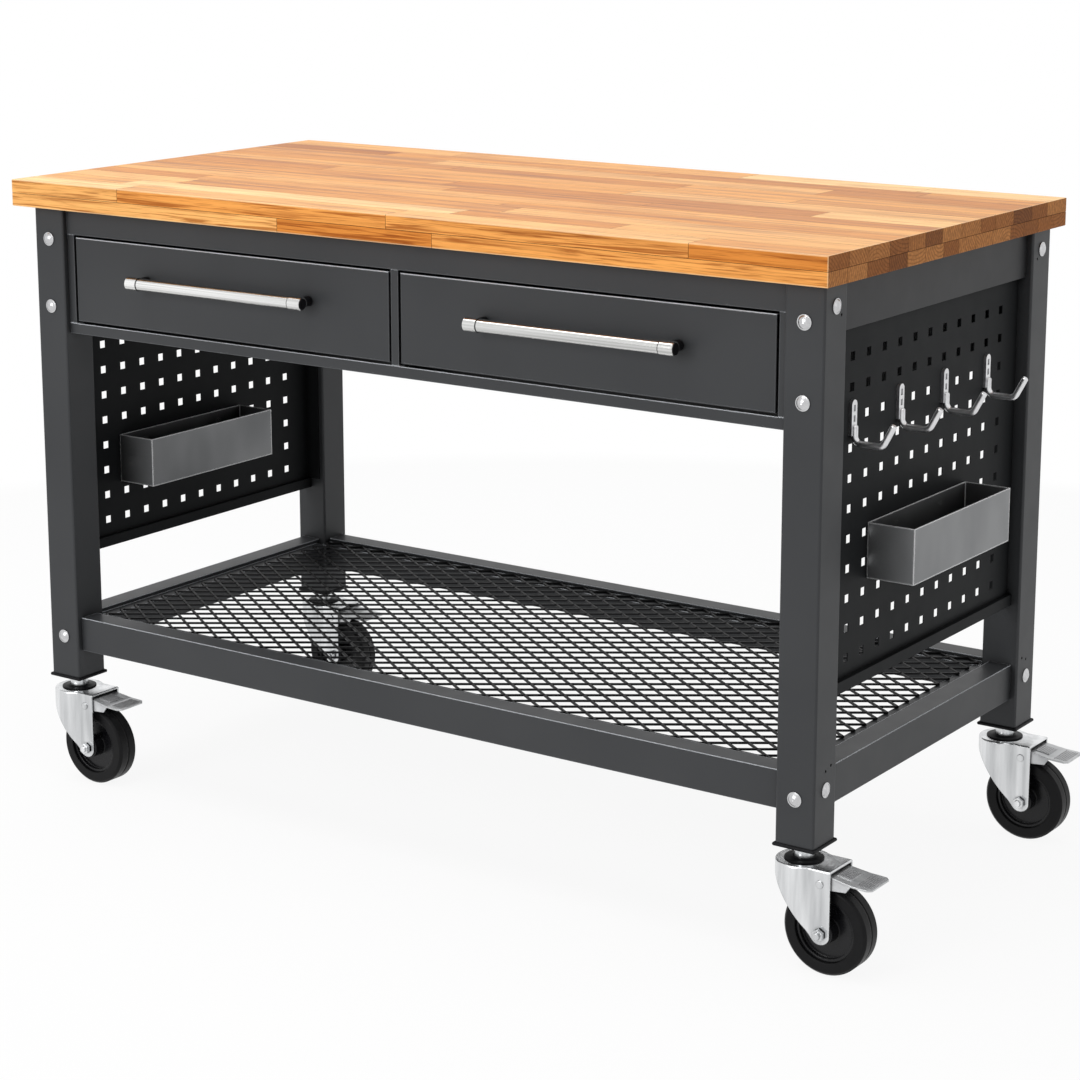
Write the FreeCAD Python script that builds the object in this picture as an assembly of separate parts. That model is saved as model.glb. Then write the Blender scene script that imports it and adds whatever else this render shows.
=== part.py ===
import FreeCAD, Part
import math
import os

# Mobile workbench on four braked swivel casters, in millimetres.
# +X is to the right along the worktop, +Y to the rear, +Z up from the floor.
# The pieces are modelled about the middle of the leg frame, and moved on writing
# so that the origin is on the floor under the middle of the whole bench.

V = FreeCAD.Vector
ORIGIN = V(0, 0, 0)
AXIS_X = V(1, 0, 0)
AXIS_Y = V(0, 1, 0)
AXIS_Z = V(0, 0, 1)

# Worktop
BENCH_HEIGHT = 828.0
TOP_LENGTH = 1219.0
TOP_DEPTH = 610.0
TOP_THICKNESS = 35.0
TOP_EDGE_CHAMFER = 1.5
TOP_SIDE_OVERHANG = 16.0
TOP_FRONT_OVERHANG = 24.0
TOP_REAR_OVERHANG = 8.0

# Legs and their foot plugs, with spare holes given as distances inward and up from a bolt along X
LEG_SIZE = 50.0
LEG_WALL = 2.0
LEG_CORNER_RADIUS = 3.0
SPARE_HOLE_DIAMETER = 3.5
SPARE_HOLES_BY_TOP_BOLT = ((12.0, -11.0),)
SPARE_HOLES_BY_SHELF_BOLT = ((0.0, 22.0), (12.0, 26.0))
CAP_FLANGE_THICKNESS = 4.0
CAP_PROUD = 2.5
CAP_EDGE_CHAMFER = 1.2
CAP_PLUG_LENGTH = 28.0
CAP_CLEARANCE = 0.2

# Folded sheet rails
RAIL_SETBACK = 9.0
RAIL_SHEET = 1.5
RAIL_DEPTH = 30.0
APRON_HEIGHT = 60.0

# Drawer case
CASE_HEIGHT = 168.0
CASE_TOP_RAIL_HEIGHT = 36.0
CASE_TOP_RAIL_PROUD = 1.5
CASE_BOTTOM_RAIL_HEIGHT = 14.0
CASE_STILE_WIDTH = 11.0
CASE_MULLION_WIDTH = 11.0
CASE_WALL_LAP = 8.0

# Drawers
DRAWER_GAP = 3.5
DRAWER_FRONT_DEPTH = 18.0
DRAWER_FRONT_EDGE_RADIUS = 1.2
DRAWER_FRONT_LIP = 18.0
DRAWER_SHEET = 1.2
DRAWER_BOX_BACK_GAP = 52.0
DRAWER_BOX_DROP = 18.0
DRAWER_BOX_LIFT = 8.0
DRAWER_BOX_HEM = 6.0

# Drawer handles
HANDLE_LENGTH = 290.0
HANDLE_DIAMETER = 16.0
HANDLE_STANDOFF = 24.0
HANDLE_RAISE = 8.0
HANDLE_CAP_LENGTH = 20.0
HANDLE_CAP_PROUD = 0.7
HANDLE_GROOVE_WIDTH = 1.5
HANDLE_GROOVE_DEPTH = 1.0
HANDLE_EDGE_CHAMFER = 0.8
PLUG_RIM = 1.6
PLUG_DEPTH = 3.0
PLUG_PROUD = 0.6
POST_DIAMETER = 13.0
POST_INSET = 10.5
POST_SEAT_CLEARANCE = 0.05

# Telescopic drawer runners
RUNNER_BACK_GAP = 10.0
RUNNER_HEIGHT = 45.0
RUNNER_THICKNESS = 12.7
RUNNER_SHEET = 1.2
RUNNER_GAP = 0.4

# Lower shelf
SHELF_RAISE = 37.0
SHELF_RAIL_HEIGHT = 46.0
SHELF_RAIL_WIDTH = 30.0
SHELF_RAIL_WALL = 2.0
SHELF_END_PLATE = 5.0
SHELF_LEDGE_WIDTH = 18.0
SHELF_LEDGE_THICKNESS = 3.0
MESH_DROP = 3.0
MESH_THICKNESS = 3.0
MESH_CLEARANCE = 0.3
MESH_BORDER = 5.0
MESH_LONG_WAY = 92.0
MESH_SHORT_WAY = 46.0
MESH_STRAND = 3.0

# Side panels with square holes
PANEL_SHELF_GAP = 79.0
PANEL_INSET = 18.0
PANEL_SHEET = 1.2
PANEL_FLANGE = 24.0
PANEL_RAIL_SIZE = 14.0
PANEL_RAIL_WALL = 1.5
PEG_PITCH_ACROSS = 38.0
PEG_PITCH_DOWN = 35.0
PEG_HOLE = 10.0
PEG_TOP_MARGIN = 35.0
PEG_BOTTOM_MARGIN = 15.0
PEG_SIDE_MARGIN = 45.0

# Bins, hung by tabs in the square holes (rows from the top, columns from the front, or back from the last)
BIN_LENGTH = 250.0
BIN_DEPTH = 60.0
BIN_HEIGHT = 66.0
BIN_SHEET = 1.2
BIN_TAB_DROP = 10.0
BIN_RIGHT_ROW = -5
BIN_RIGHT_COLUMNS = (3, 6)
BIN_LEFT_ROW = -4
BIN_LEFT_COLUMNS = (2, 6)
TAB_SIDE_CLEARANCE = 1.0
TAB_THICKNESS = 3.0
TAB_LIP = 9.0
TAB_CLEARANCE = 0.3

# Hooks
HOOK_COLUMNS = (0, 3, -5, -2)
HOOK_ROW = 2
HOOK_STRIP_LENGTH = 41.0
HOOK_STRIP_WIDTH = 12.0
HOOK_STRIP_THICKNESS = 4.0
HOOK_STRIP_RISE = 21.0
HOOK_SLOT_WIDTH = 4.5
HOOK_SLOT_LENGTH = 7.5
HOOK_ROD_DIAMETER = 8.0
HOOK_ROD_STANDOFF = 0.5
HOOK_REACH = 30.0
HOOK_BEND_RADIUS = 9.0
HOOK_TIP_LENGTH = 24.0
HOOK_TIP_ANGLE = 62.0
HOOK_END_CHAMFER = 1.2

# Bolts, nuts and wood screws
BOLT_DIAMETER = 6.0
BOLT_HEAD_DIAMETER = 18.0
BOLT_HEAD_HEIGHT = 4.5
BOLT_RIM_WIDTH = 1.2
BOLT_RIM_HEIGHT = 1.2
BOLT_GRIP = 8.5
BOLT_HOLE_CLEARANCE = 0.3
NUT_ACROSS_FLATS = 10.0
NUT_THICKNESS = 5.0
THREAD_CLEARANCE = 0.05
BOLT_STAGGER = 9.0
PANEL_BOLT_DROP = 133.0
RAIL_BOLT_RISE = 9.0
SCREW_DIAMETER = 4.0
SCREW_LENGTH = 24.0
SCREW_HEAD_DIAMETER = 8.5
SCREW_HEAD_HEIGHT = 2.6
SCREW_PITCH_ALONG = 280.0
SCREW_PITCH_ACROSS = 300.0

# Casters: wheel
WHEEL_DIAMETER = 106.0
WHEEL_WIDTH = 31.0
WHEEL_EDGE_CHAMFER = 3.0
TREAD_GROOVE_WIDTH = 2.0
TREAD_GROOVE_DEPTH = 1.0
TYRE_DEPTH = 15.0
HUB_RIM_DEPTH = 4.0
HUB_RIM_RECESS = 3.0
HUB_WEB_THICKNESS = 14.0
HUB_BOSS_DIAMETER = 29.0

# Casters: fork and swivel
CASTER_TRAIL = 36.0
FORK_HEADROOM = 20.5
FORK_SHEET = 2.5
FORK_WIDTH = 53.0
FORK_BACK_RADIUS = 33.0
FORK_BLEND_RADIUS = 14.0
FORK_FRONT_REACH = 48.0
FORK_BACK_DEPTH = 6.0
FORK_FRONT_DEPTH = 22.0
FORK_END_RADIUS = 12.5
FORK_TOP_ROUNDING = 2.0
STEM_NECK = 17.0
STEM_DIAMETER = 12.0
STEM_COLLAR_DIAMETER = 24.0
KING_PIN_DIAMETER = 16.0
KING_FLANGE_DIAMETER = 34.0
KING_FLANGE_THICKNESS = 3.0
DUST_RING_DIAMETER = 46.0
DUST_RING_HEIGHT = 3.0
SWIVEL_GAP = 0.3
RUNNING_CLEARANCE = 0.05

# Casters: axle
AXLE_DIAMETER = 8.0
AXLE_SPACER_DIAMETER = 12.0
AXLE_HEAD_ACROSS_FLATS = 13.0
AXLE_HEAD_HEIGHT = 5.0
AXLE_WASHER_DIAMETER = 18.0
AXLE_WASHER_THICKNESS = 1.5
AXLE_END_PROUD = 2.5

# Casters: brake pedal, with heights given as drops below the fork's top
PEDAL_SHEET = 2.0
PEDAL_SIDE_GAP = 1.0
PEDAL_PIVOT_REACH = 35.0
PEDAL_PIVOT_DROP = 16.5
PEDAL_PIVOT_DIAMETER = 6.0
PEDAL_RIVET_HEAD_DIAMETER = 9.0
PEDAL_RIVET_HEAD_HEIGHT = 1.5
PEDAL_ROOT_REACH = 29.0
PEDAL_ROOT_DROP = 4.0
PEDAL_KINK_REACH = 73.0
PEDAL_KINK_DROP = 10.5
PEDAL_TIP_REACH = 98.0
PEDAL_TIP_DROP = 11.5
PEDAL_TIP_WIDTH = 49.0
PEDAL_TIP_CHAMFER = 5.0
PEDAL_CHEEK_DEPTH = 17.0
PEDAL_CHEEK_REACH = 66.0
PEDAL_PAD_REACH = (49.0, 68.0)
PEDAL_PAD_HEIGHT = 0.8
PEDAL_PAD_WIDTH = 26.0
PEDAL_PRESS_ANGLE = 10.0
SHOE_WIDTH = 24.0
SHOE_REACH = (39.0, 50.0)
SHOE_GAP = 0.6

# Derived heights, from the wheel up
WHEEL_RADIUS = WHEEL_DIAMETER / 2
FORK_UNDERSIDE = WHEEL_DIAMETER + FORK_HEADROOM
FORK_TOP_HEIGHT = FORK_UNDERSIDE + FORK_SHEET
CAP_BOTTOM = FORK_TOP_HEIGHT + STEM_NECK
LEG_FOOT_HEIGHT = CAP_BOTTOM + CAP_FLANGE_THICKNESS
SHELF_LOW = LEG_FOOT_HEIGHT + SHELF_RAISE
SHELF_HEIGHT = SHELF_LOW + SHELF_RAIL_HEIGHT
PANEL_BOTTOM_HEIGHT = SHELF_HEIGHT + PANEL_SHELF_GAP
UNDERSIDE = BENCH_HEIGHT - TOP_THICKNESS

# Derived places of the frame
OUT_X = TOP_LENGTH / 2 - TOP_SIDE_OVERHANG
OUT_Y = (TOP_DEPTH - TOP_FRONT_OVERHANG - TOP_REAR_OVERHANG) / 2
LEG_X = OUT_X - LEG_SIZE / 2
LEG_Y = OUT_Y - LEG_SIZE / 2
IN_X = OUT_X - LEG_SIZE
IN_Y = OUT_Y - LEG_SIZE
FACE_X = OUT_X - RAIL_SETBACK
FACE_Y = OUT_Y - RAIL_SETBACK
TOP_FRONT = -OUT_Y - TOP_FRONT_OVERHANG
TOP_REAR = OUT_Y + TOP_REAR_OVERHANG
LEG_PLACES = {
    "front_left": (-1, -1),
    "front_right": (1, -1),
    "rear_left": (-1, 1),
    "rear_right": (1, 1),
}

# Derived places of the drawer case
CASE_BOTTOM = UNDERSIDE - CASE_HEIGHT
CASE_BACK = -FACE_Y + RAIL_DEPTH
OPENING_LOW = CASE_BOTTOM + CASE_BOTTOM_RAIL_HEIGHT
OPENING_HIGH = UNDERSIDE - CASE_TOP_RAIL_HEIGHT
OPENING_OUT = IN_X - CASE_STILE_WIDTH
OPENING_IN = CASE_MULLION_WIDTH / 2
DRAWER_CENTRE_X = (OPENING_OUT + OPENING_IN) / 2
DRAWER_BOX_FRONT = -FACE_Y + DRAWER_FRONT_DEPTH
DRAWER_BOX_BACK = FACE_Y - RAIL_DEPTH - DRAWER_BOX_BACK_GAP
DRAWER_BOX_LOW = OPENING_LOW + DRAWER_BOX_LIFT
DRAWER_BOX_HIGH = OPENING_HIGH - DRAWER_BOX_DROP
RUNNER_Z = (DRAWER_BOX_LOW + DRAWER_BOX_HIGH) / 2
HANDLE_Z = (OPENING_LOW + OPENING_HIGH) / 2 + HANDLE_RAISE
HANDLE_Y = -FACE_Y - HANDLE_STANDOFF
HANDLE_RADIUS = HANDLE_DIAMETER / 2
HANDLE_CAP_RADIUS = HANDLE_RADIUS + HANDLE_CAP_PROUD
PLUG_RADIUS = HANDLE_CAP_RADIUS - PLUG_RIM
HANDLE_HALF = HANDLE_LENGTH / 2
PLUG_SEAT = HANDLE_HALF - PLUG_DEPTH

# Derived places of the side panels and the shelf
APRON_BOTTOM = UNDERSIDE - APRON_HEIGHT
PANEL_FACE = OUT_X - PANEL_INSET
PANEL_BACK = PANEL_FACE - PANEL_SHEET
PANEL_SHEET_LOW = PANEL_BOTTOM_HEIGHT + PANEL_RAIL_SIZE
PEG_COLUMNS = 1 + int((IN_Y - PEG_SIDE_MARGIN) * 2 / PEG_PITCH_ACROSS)
PEG_TOP = APRON_BOTTOM - PEG_TOP_MARGIN
PEG_ROWS = 1 + int((PEG_TOP - PANEL_SHEET_LOW - PEG_BOTTOM_MARGIN) / PEG_PITCH_DOWN)
TAB_WIDTH = PEG_HOLE - 2 * TAB_SIDE_CLEARANCE
SHELF_BOLT_Z = (SHELF_HEIGHT + SHELF_LOW) / 2
MESH_TOP = SHELF_HEIGHT - MESH_DROP
LEDGE_TOP = MESH_TOP - MESH_THICKNESS

# Derived places of the bolts: those along Y hold the side members, those along X the long ones
RAIL_BOLT_Z = OPENING_HIGH + RAIL_BOLT_RISE
BOLTS_ALONG_Y = (
    (RAIL_BOLT_Z + APRON_BOTTOM) / 2,
    UNDERSIDE - PANEL_BOLT_DROP,
    SHELF_BOLT_Z - BOLT_STAGGER / 2,
)
BOLTS_ALONG_X = (
    RAIL_BOLT_Z,
    SHELF_BOLT_Z + BOLT_STAGGER / 2,
)
BOLT_LENGTH = LEG_SIZE + BOLT_GRIP
BOLT_HOLE_RADIUS = BOLT_DIAMETER / 2 + BOLT_HOLE_CLEARANCE
THREAD_HOLE_RADIUS = BOLT_DIAMETER / 2 + THREAD_CLEARANCE

# Derived sizes of the casters
FORK_HALF = FORK_WIDTH / 2
FORK_INNER_HALF = FORK_HALF - FORK_SHEET
PEDAL_HALF = FORK_INNER_HALF - PEDAL_SIDE_GAP
PEDAL_PIVOT = V(PEDAL_PIVOT_REACH, 0, FORK_TOP_HEIGHT - PEDAL_PIVOT_DROP)
AXLE_CENTRE = V(CASTER_TRAIL, 0, WHEEL_RADIUS)

# The move from the frame's middle to the middle of the whole bench
REACH_LEFT = -TOP_LENGTH / 2
REACH_RIGHT = max(TOP_LENGTH / 2, LEG_X + PEDAL_TIP_REACH)
REACH_FRONT = min(TOP_FRONT, HANDLE_Y - HANDLE_CAP_RADIUS)
FRAME_SHIFT = V(-(REACH_LEFT + REACH_RIGHT) / 2, -(REACH_FRONT + TOP_REAR) / 2, 0)


def span(values):
    """Lowest and highest of two values given in either order."""
    return min(values), max(values)


def inset(values, wall):
    """Two values drawn in by a wall at each end."""
    low, high = span(values)
    return low + wall, high - wall


def block(x, y, z):
    """Block between two X, two Y and two Z values."""
    (x0, x1), (y0, y1), (z0, z1) = span(x), span(y), span(z)
    return Part.makeBox(x1 - x0, y1 - y0, z1 - z0, V(x0, y0, z0))


def rod(radius, start, end):
    """Round bar between two points."""
    line = end - start
    return Part.makeCylinder(radius, line.Length, start, line)


def prism(points, sweep):
    """Closed polygon swept along a vector."""
    return Part.Face(Part.makePolygon(points + points[:1])).extrude(sweep)


def turned(points, centre, axis):
    """Solid of revolution of a closed polygon."""
    return Part.Face(Part.makePolygon(points + points[:1])).revolve(centre, axis, 360)


def joined(shapes):
    """One clean solid out of pieces that meet."""
    return shapes[0].fuse(list(shapes[1:])).removeSplitter()


def tray(x, y, z, sheet, open_side):
    """Sheet folded round a block, left open on one side such as '+z'."""
    ranges = {"x": span(x), "y": span(y), "z": span(z)}
    hollow = {name: [low + sheet, high - sheet] for name, (low, high) in ranges.items()}
    sign, axis = open_side
    if sign == "+":
        hollow[axis][1] = ranges[axis][1] + sheet
    else:
        hollow[axis][0] = ranges[axis][0] - sheet
    return block(x, y, z).cut(block(hollow["x"], hollow["y"], hollow["z"]))


def on_side(shape, side):
    """A piece modelled on the right, mirrored for the left."""
    return shape if side > 0 else shape.mirror(ORIGIN, AXIS_X)


def facing(shape, place, direction):
    """A piece modelled along +Z, turned to a direction and set at a place."""
    set_piece = shape.copy()
    set_piece.Placement = FreeCAD.Placement(place, FreeCAD.Rotation(AXIS_Z, direction))
    return set_piece


def bolt_places():
    """Seat of every frame bolt's head, and the way the bolt runs."""
    for side_x, side_y in LEG_PLACES.values():
        for z in BOLTS_ALONG_Y:
            yield V(side_x * LEG_X, side_y * OUT_Y, z), V(0, -side_y, 0)
        for z in BOLTS_ALONG_X:
            yield V(side_x * OUT_X, side_y * LEG_Y, z), V(-side_x, 0, 0)


def bolt_holes(radius):
    """Round cutters along every frame bolt."""
    return [rod(radius, seat, seat + way * BOLT_LENGTH) for seat, way in bolt_places()]


def screw_places():
    """Underside of the rail flange at every worktop screw."""
    z = UNDERSIDE - RAIL_SHEET
    for step in (-1.5, -0.5, 0.5, 1.5):
        yield V(step * SCREW_PITCH_ALONG, -FACE_Y + RAIL_DEPTH / 2, z)
        yield V(step * SCREW_PITCH_ALONG, FACE_Y - RAIL_DEPTH / 2, z)
    for step in (-0.5, 0.5):
        yield V(FACE_X - RAIL_DEPTH / 2, step * SCREW_PITCH_ACROSS, z)
        yield V(-FACE_X + RAIL_DEPTH / 2, step * SCREW_PITCH_ACROSS, z)


def screw_holes():
    """Round cutters through the flanges and into the slab."""
    radius = SCREW_DIAMETER / 2 + THREAD_CLEARANCE
    length = SCREW_LENGTH + THREAD_CLEARANCE
    return [rod(radius, place, place + AXIS_Z * length) for place in screw_places()]


def worktop():
    slab = block((-TOP_LENGTH / 2, TOP_LENGTH / 2), (TOP_FRONT, TOP_REAR), (UNDERSIDE, BENCH_HEIGHT))
    return slab.makeChamfer(TOP_EDGE_CHAMFER, slab.Edges).cut(screw_holes())


def worktop_screws():
    head = SCREW_HEAD_DIAMETER / 2
    outline = [
        V(0, 0, -SCREW_HEAD_HEIGHT),
        V(head, 0, -SCREW_HEAD_HEIGHT),
        V(head, 0, 0),
        V(SCREW_DIAMETER / 2, 0, 0),
        V(SCREW_DIAMETER / 2, 0, SCREW_LENGTH),
        V(0, 0, SCREW_LENGTH),
    ]
    screw = turned(outline, ORIGIN, AXIS_Z)
    return [screw.translated(place) for place in screw_places()]


def leg(side_x, side_y):
    x = (side_x * IN_X, side_x * OUT_X)
    y = (side_y * IN_Y, side_y * OUT_Y)
    z = (LEG_FOOT_HEIGHT, UNDERSIDE)
    tube = block(x, y, z)
    corners = [edge for edge in tube.Edges if abs(edge.tangentAt(edge.FirstParameter).z) > 0.5]
    tube = tube.makeFillet(LEG_CORNER_RADIUS, corners)
    bore = block(inset(x, LEG_WALL), inset(y, LEG_WALL), z)
    return tube.cut([bore] + bolt_holes(BOLT_HOLE_RADIUS) + spare_holes(side_x, side_y))


def spare_holes(side_x, side_y):
    """Small round cutters through the outer wall of a leg, near its bolts along X."""
    through = V(-side_x * LEG_SIZE / 2, 0, 0)
    cutters = []
    for bolt_z, offsets in zip(BOLTS_ALONG_X, (SPARE_HOLES_BY_TOP_BOLT, SPARE_HOLES_BY_SHELF_BOLT)):
        for inward, rise in offsets:
            start = V(side_x * OUT_X, side_y * (LEG_Y - inward), bolt_z + rise)
            cutters.append(rod(SPARE_HOLE_DIAMETER / 2, start, start + through))
    return cutters


def leg_end_cap(side_x, side_y):
    half_flange = LEG_SIZE / 2 + CAP_PROUD
    half_plug = LEG_SIZE / 2 - LEG_WALL - CAP_CLEARANCE
    flange = block((-half_flange, half_flange), (-half_flange, half_flange), (CAP_BOTTOM, LEG_FOOT_HEIGHT))
    flange = flange.makeChamfer(CAP_EDGE_CHAMFER, flange.Edges)
    plug_z = (LEG_FOOT_HEIGHT - CAP_FLANGE_THICKNESS / 2, LEG_FOOT_HEIGHT + CAP_PLUG_LENGTH)
    plug = block((-half_plug, half_plug), (-half_plug, half_plug), plug_z)
    bore = rod(STEM_DIAMETER / 2 + THREAD_CLEARANCE, V(0, 0, 0), V(0, 0, UNDERSIDE))
    return joined([flange, plug]).cut(bore).translated(V(side_x * LEG_X, side_y * LEG_Y, 0))


def dome_middle(crown, foot):
    """Point halfway along the arc of a round cap about Z, from its crown below to its foot."""
    rise = foot.z - crown.z
    radius = (foot.x ** 2 + rise ** 2) / (2 * rise)
    angle = math.asin(foot.x / radius) / 2
    return crown + V(math.sin(angle), 0, 1 - math.cos(angle)) * radius


def frame_bolts():
    """Dome-head bolts with a flat rim, and nuts on those that hold sheet metal."""
    head = BOLT_HEAD_DIAMETER / 2
    shank = BOLT_DIAMETER / 2
    crown = V(0, 0, -BOLT_HEAD_HEIGHT)
    dome_foot = V(head - BOLT_RIM_WIDTH, 0, -BOLT_RIM_HEIGHT)
    sides = Part.makePolygon([
        dome_foot,
        V(head, 0, -BOLT_RIM_HEIGHT),
        V(head, 0, 0),
        V(shank, 0, 0),
        V(shank, 0, BOLT_LENGTH),
        V(0, 0, BOLT_LENGTH),
        crown,
    ])
    dome = Part.Arc(crown, dome_middle(crown, dome_foot), dome_foot).toShape()
    bolt = Part.Face(Part.Wire(sides.Edges + [dome])).revolve(ORIGIN, AXIS_Z, 360)
    thread = rod(THREAD_HOLE_RADIUS, ORIGIN, V(0, 0, NUT_THICKNESS))
    nut = hexagon(NUT_ACROSS_FLATS, 0, NUT_THICKNESS).cut(thread)
    pieces = []
    for seat, way in bolt_places():
        pieces.append(facing(bolt, seat, way))
        if seat.z > SHELF_HEIGHT:
            sheet = PANEL_SHEET if seat.z < APRON_BOTTOM else RAIL_SHEET
            pieces.append(facing(nut, seat + way * (LEG_SIZE + sheet), way))
    return pieces


def hexagon(across_flats, low, high):
    """Hexagonal prism along Z, with flats facing +X and -X."""
    corner = across_flats / math.sqrt(3)
    angles = [math.radians(30 + 60 * step) for step in range(6)]
    points = [V(corner * math.cos(angle), corner * math.sin(angle), low) for angle in angles]
    return prism(points, V(0, 0, high - low))


def side_apron(side):
    pan = tray((FACE_X - RAIL_DEPTH, FACE_X), (-IN_Y, IN_Y), (APRON_BOTTOM, UNDERSIDE), RAIL_SHEET, "-x")
    return on_side(pan, side).cut(bolt_holes(BOLT_HOLE_RADIUS) + screw_holes())


def rear_apron():
    pan = tray((-IN_X, IN_X), (FACE_Y - RAIL_DEPTH, FACE_Y), (CASE_BOTTOM, UNDERSIDE), RAIL_SHEET, "-y")
    return pan.cut(bolt_holes(BOLT_HOLE_RADIUS) + screw_holes())


def case_top_rail():
    front = -FACE_Y - CASE_TOP_RAIL_PROUD
    pan = tray((-IN_X, IN_X), (front, CASE_BACK), (OPENING_HIGH, UNDERSIDE), RAIL_SHEET, "+y")
    return pan.cut(bolt_holes(BOLT_HOLE_RADIUS) + screw_holes())


def case_face_frame():
    y = (-FACE_Y, CASE_BACK)
    upright = (OPENING_LOW, OPENING_HIGH)
    bottom_rail = tray((-IN_X, IN_X), y, (CASE_BOTTOM, OPENING_LOW), RAIL_SHEET, "+y")
    stile = tray((OPENING_OUT, IN_X), y, upright, RAIL_SHEET, "+y")
    mullion = tray((-OPENING_IN, OPENING_IN), y, upright, RAIL_SHEET, "+y")
    return [bottom_rail, on_side(stile, -1), stile, mullion]


def case_side_wall(side):
    """Sheet wall from the stile to the rear rail's channel, with a lip along its foot."""
    low = CASE_BOTTOM + RAIL_SHEET
    high = UNDERSIDE - RAIL_SHEET
    outer = OPENING_OUT + RAIL_SHEET
    lip = IN_X - 2 * RAIL_SHEET
    profile = [
        V(OPENING_OUT, CASE_BACK, low),
        V(lip, CASE_BACK, low),
        V(lip, CASE_BACK, low + RAIL_SHEET),
        V(outer, CASE_BACK, low + RAIL_SHEET),
        V(outer, CASE_BACK, high),
        V(OPENING_OUT, CASE_BACK, high),
    ]
    rear_end = FACE_Y - RAIL_DEPTH + CASE_WALL_LAP
    return on_side(prism(profile, V(0, rear_end - CASE_BACK, 0)), side)


def case_divider():
    z = (CASE_BOTTOM + RAIL_SHEET, UNDERSIDE - RAIL_SHEET)
    return tray((-OPENING_IN, OPENING_IN), (CASE_BACK, FACE_Y - RAIL_SHEET), z, RAIL_SHEET, "-z")


def drawer_front(side):
    """Folded front pan, with a lip behind it all round that lies against the drawer box."""
    x = (OPENING_IN + DRAWER_GAP, OPENING_OUT - DRAWER_GAP)
    y = (-FACE_Y, DRAWER_BOX_FRONT)
    z = (OPENING_LOW + DRAWER_GAP, OPENING_HIGH - DRAWER_GAP)
    hollow = block(inset(x, DRAWER_SHEET), inset(y, DRAWER_SHEET), inset(z, DRAWER_SHEET))
    behind = (DRAWER_BOX_FRONT - DRAWER_SHEET, DRAWER_BOX_FRONT)
    window = block(inset(x, DRAWER_FRONT_LIP), behind, inset(z, DRAWER_FRONT_LIP))
    pan = block(x, y, z).cut([hollow, window])
    face_edges = [edge for edge in pan.Edges if edge.BoundBox.YMax < y[0] + DRAWER_SHEET / 2]
    radius = min(DRAWER_FRONT_EDGE_RADIUS, DRAWER_SHEET * 0.9)
    return on_side(pan.makeFillet(radius, face_edges), side)


def drawer_box(side):
    x = (OPENING_IN + RUNNER_THICKNESS, OPENING_OUT - RUNNER_THICKNESS)
    y = (DRAWER_BOX_FRONT, DRAWER_BOX_BACK)
    z = (DRAWER_BOX_LOW, DRAWER_BOX_HIGH)
    pan = tray(x, y, z, DRAWER_SHEET, "+z")
    hem_z = (z[1] - DRAWER_SHEET, z[1])
    hems = [block((edge, edge + way * DRAWER_BOX_HEM), y, hem_z) for edge, way in ((x[0], 1), (x[1], -1))]
    return on_side(joined([pan] + hems), side)


def handle_bar(side):
    """Round bar with a ferrule on each end, set off by a groove and bored for a plug."""
    cap_start = HANDLE_HALF - HANDLE_CAP_LENGTH
    neck = HANDLE_RADIUS - HANDLE_GROOVE_DEPTH
    cap = [
        V(cap_start, 0, 0),
        V(cap_start, neck, 0),
        V(cap_start + HANDLE_GROOVE_WIDTH, neck, 0),
        V(cap_start + HANDLE_GROOVE_WIDTH, HANDLE_CAP_RADIUS, 0),
        V(HANDLE_HALF - HANDLE_EDGE_CHAMFER, HANDLE_CAP_RADIUS, 0),
        V(HANDLE_HALF, HANDLE_CAP_RADIUS - HANDLE_EDGE_CHAMFER, 0),
        V(HANDLE_HALF, PLUG_RADIUS, 0),
        V(PLUG_SEAT, PLUG_RADIUS, 0),
        V(PLUG_SEAT, 0, 0),
    ]
    bar = rod(HANDLE_RADIUS, V(-cap_start, 0, 0), V(cap_start, 0, 0))
    end = turned(cap, ORIGIN, AXIS_X)
    place = V(side * DRAWER_CENTRE_X, HANDLE_Y, HANDLE_Z)
    return [piece.translated(place) for piece in (bar, end, on_side(end, -1))]


def handle_posts(side):
    """Dark fittings of a handle: two posts from its ferrules to the drawer front, and a plug in each end."""
    ferrule = rod(HANDLE_CAP_RADIUS + POST_SEAT_CLEARANCE, V(-HANDLE_LENGTH, 0, 0), V(HANDLE_LENGTH, 0, 0))
    post = rod(POST_DIAMETER / 2, ORIGIN, V(0, HANDLE_STANDOFF, 0)).cut(ferrule)
    post.translate(V(HANDLE_HALF - POST_INSET, 0, 0))
    plug = turned([
        V(PLUG_SEAT, 0, 0),
        V(PLUG_SEAT, PLUG_RADIUS, 0),
        V(HANDLE_HALF, PLUG_RADIUS, 0),
        V(HANDLE_HALF + PLUG_PROUD, PLUG_RADIUS - PLUG_PROUD, 0),
        V(HANDLE_HALF + PLUG_PROUD, 0, 0),
    ], ORIGIN, AXIS_X)
    place = V(side * DRAWER_CENTRE_X, HANDLE_Y, HANDLE_Z)
    return [on_side(piece, end).translated(place) for piece in (post, plug) for end in (-1, 1)]


def runner_channel(wall, way, web, lip_end, half_height):
    """Channel section along Y: web and lip end are distances from the wall it hangs on."""
    sheet = RUNNER_SHEET if lip_end > web else -RUNNER_SHEET
    inside = half_height - RUNNER_SHEET
    section = [
        (web, -half_height),
        (lip_end, -half_height),
        (lip_end, -inside),
        (web + sheet, -inside),
        (web + sheet, inside),
        (lip_end, inside),
        (lip_end, half_height),
        (web, half_height),
    ]
    start = DRAWER_BOX_FRONT + RUNNER_SHEET
    end = DRAWER_BOX_BACK - RUNNER_BACK_GAP
    points = [V(wall + way * across, start, RUNNER_Z + up) for across, up in section]
    return prism(points, V(0, end - start, 0))


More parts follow.
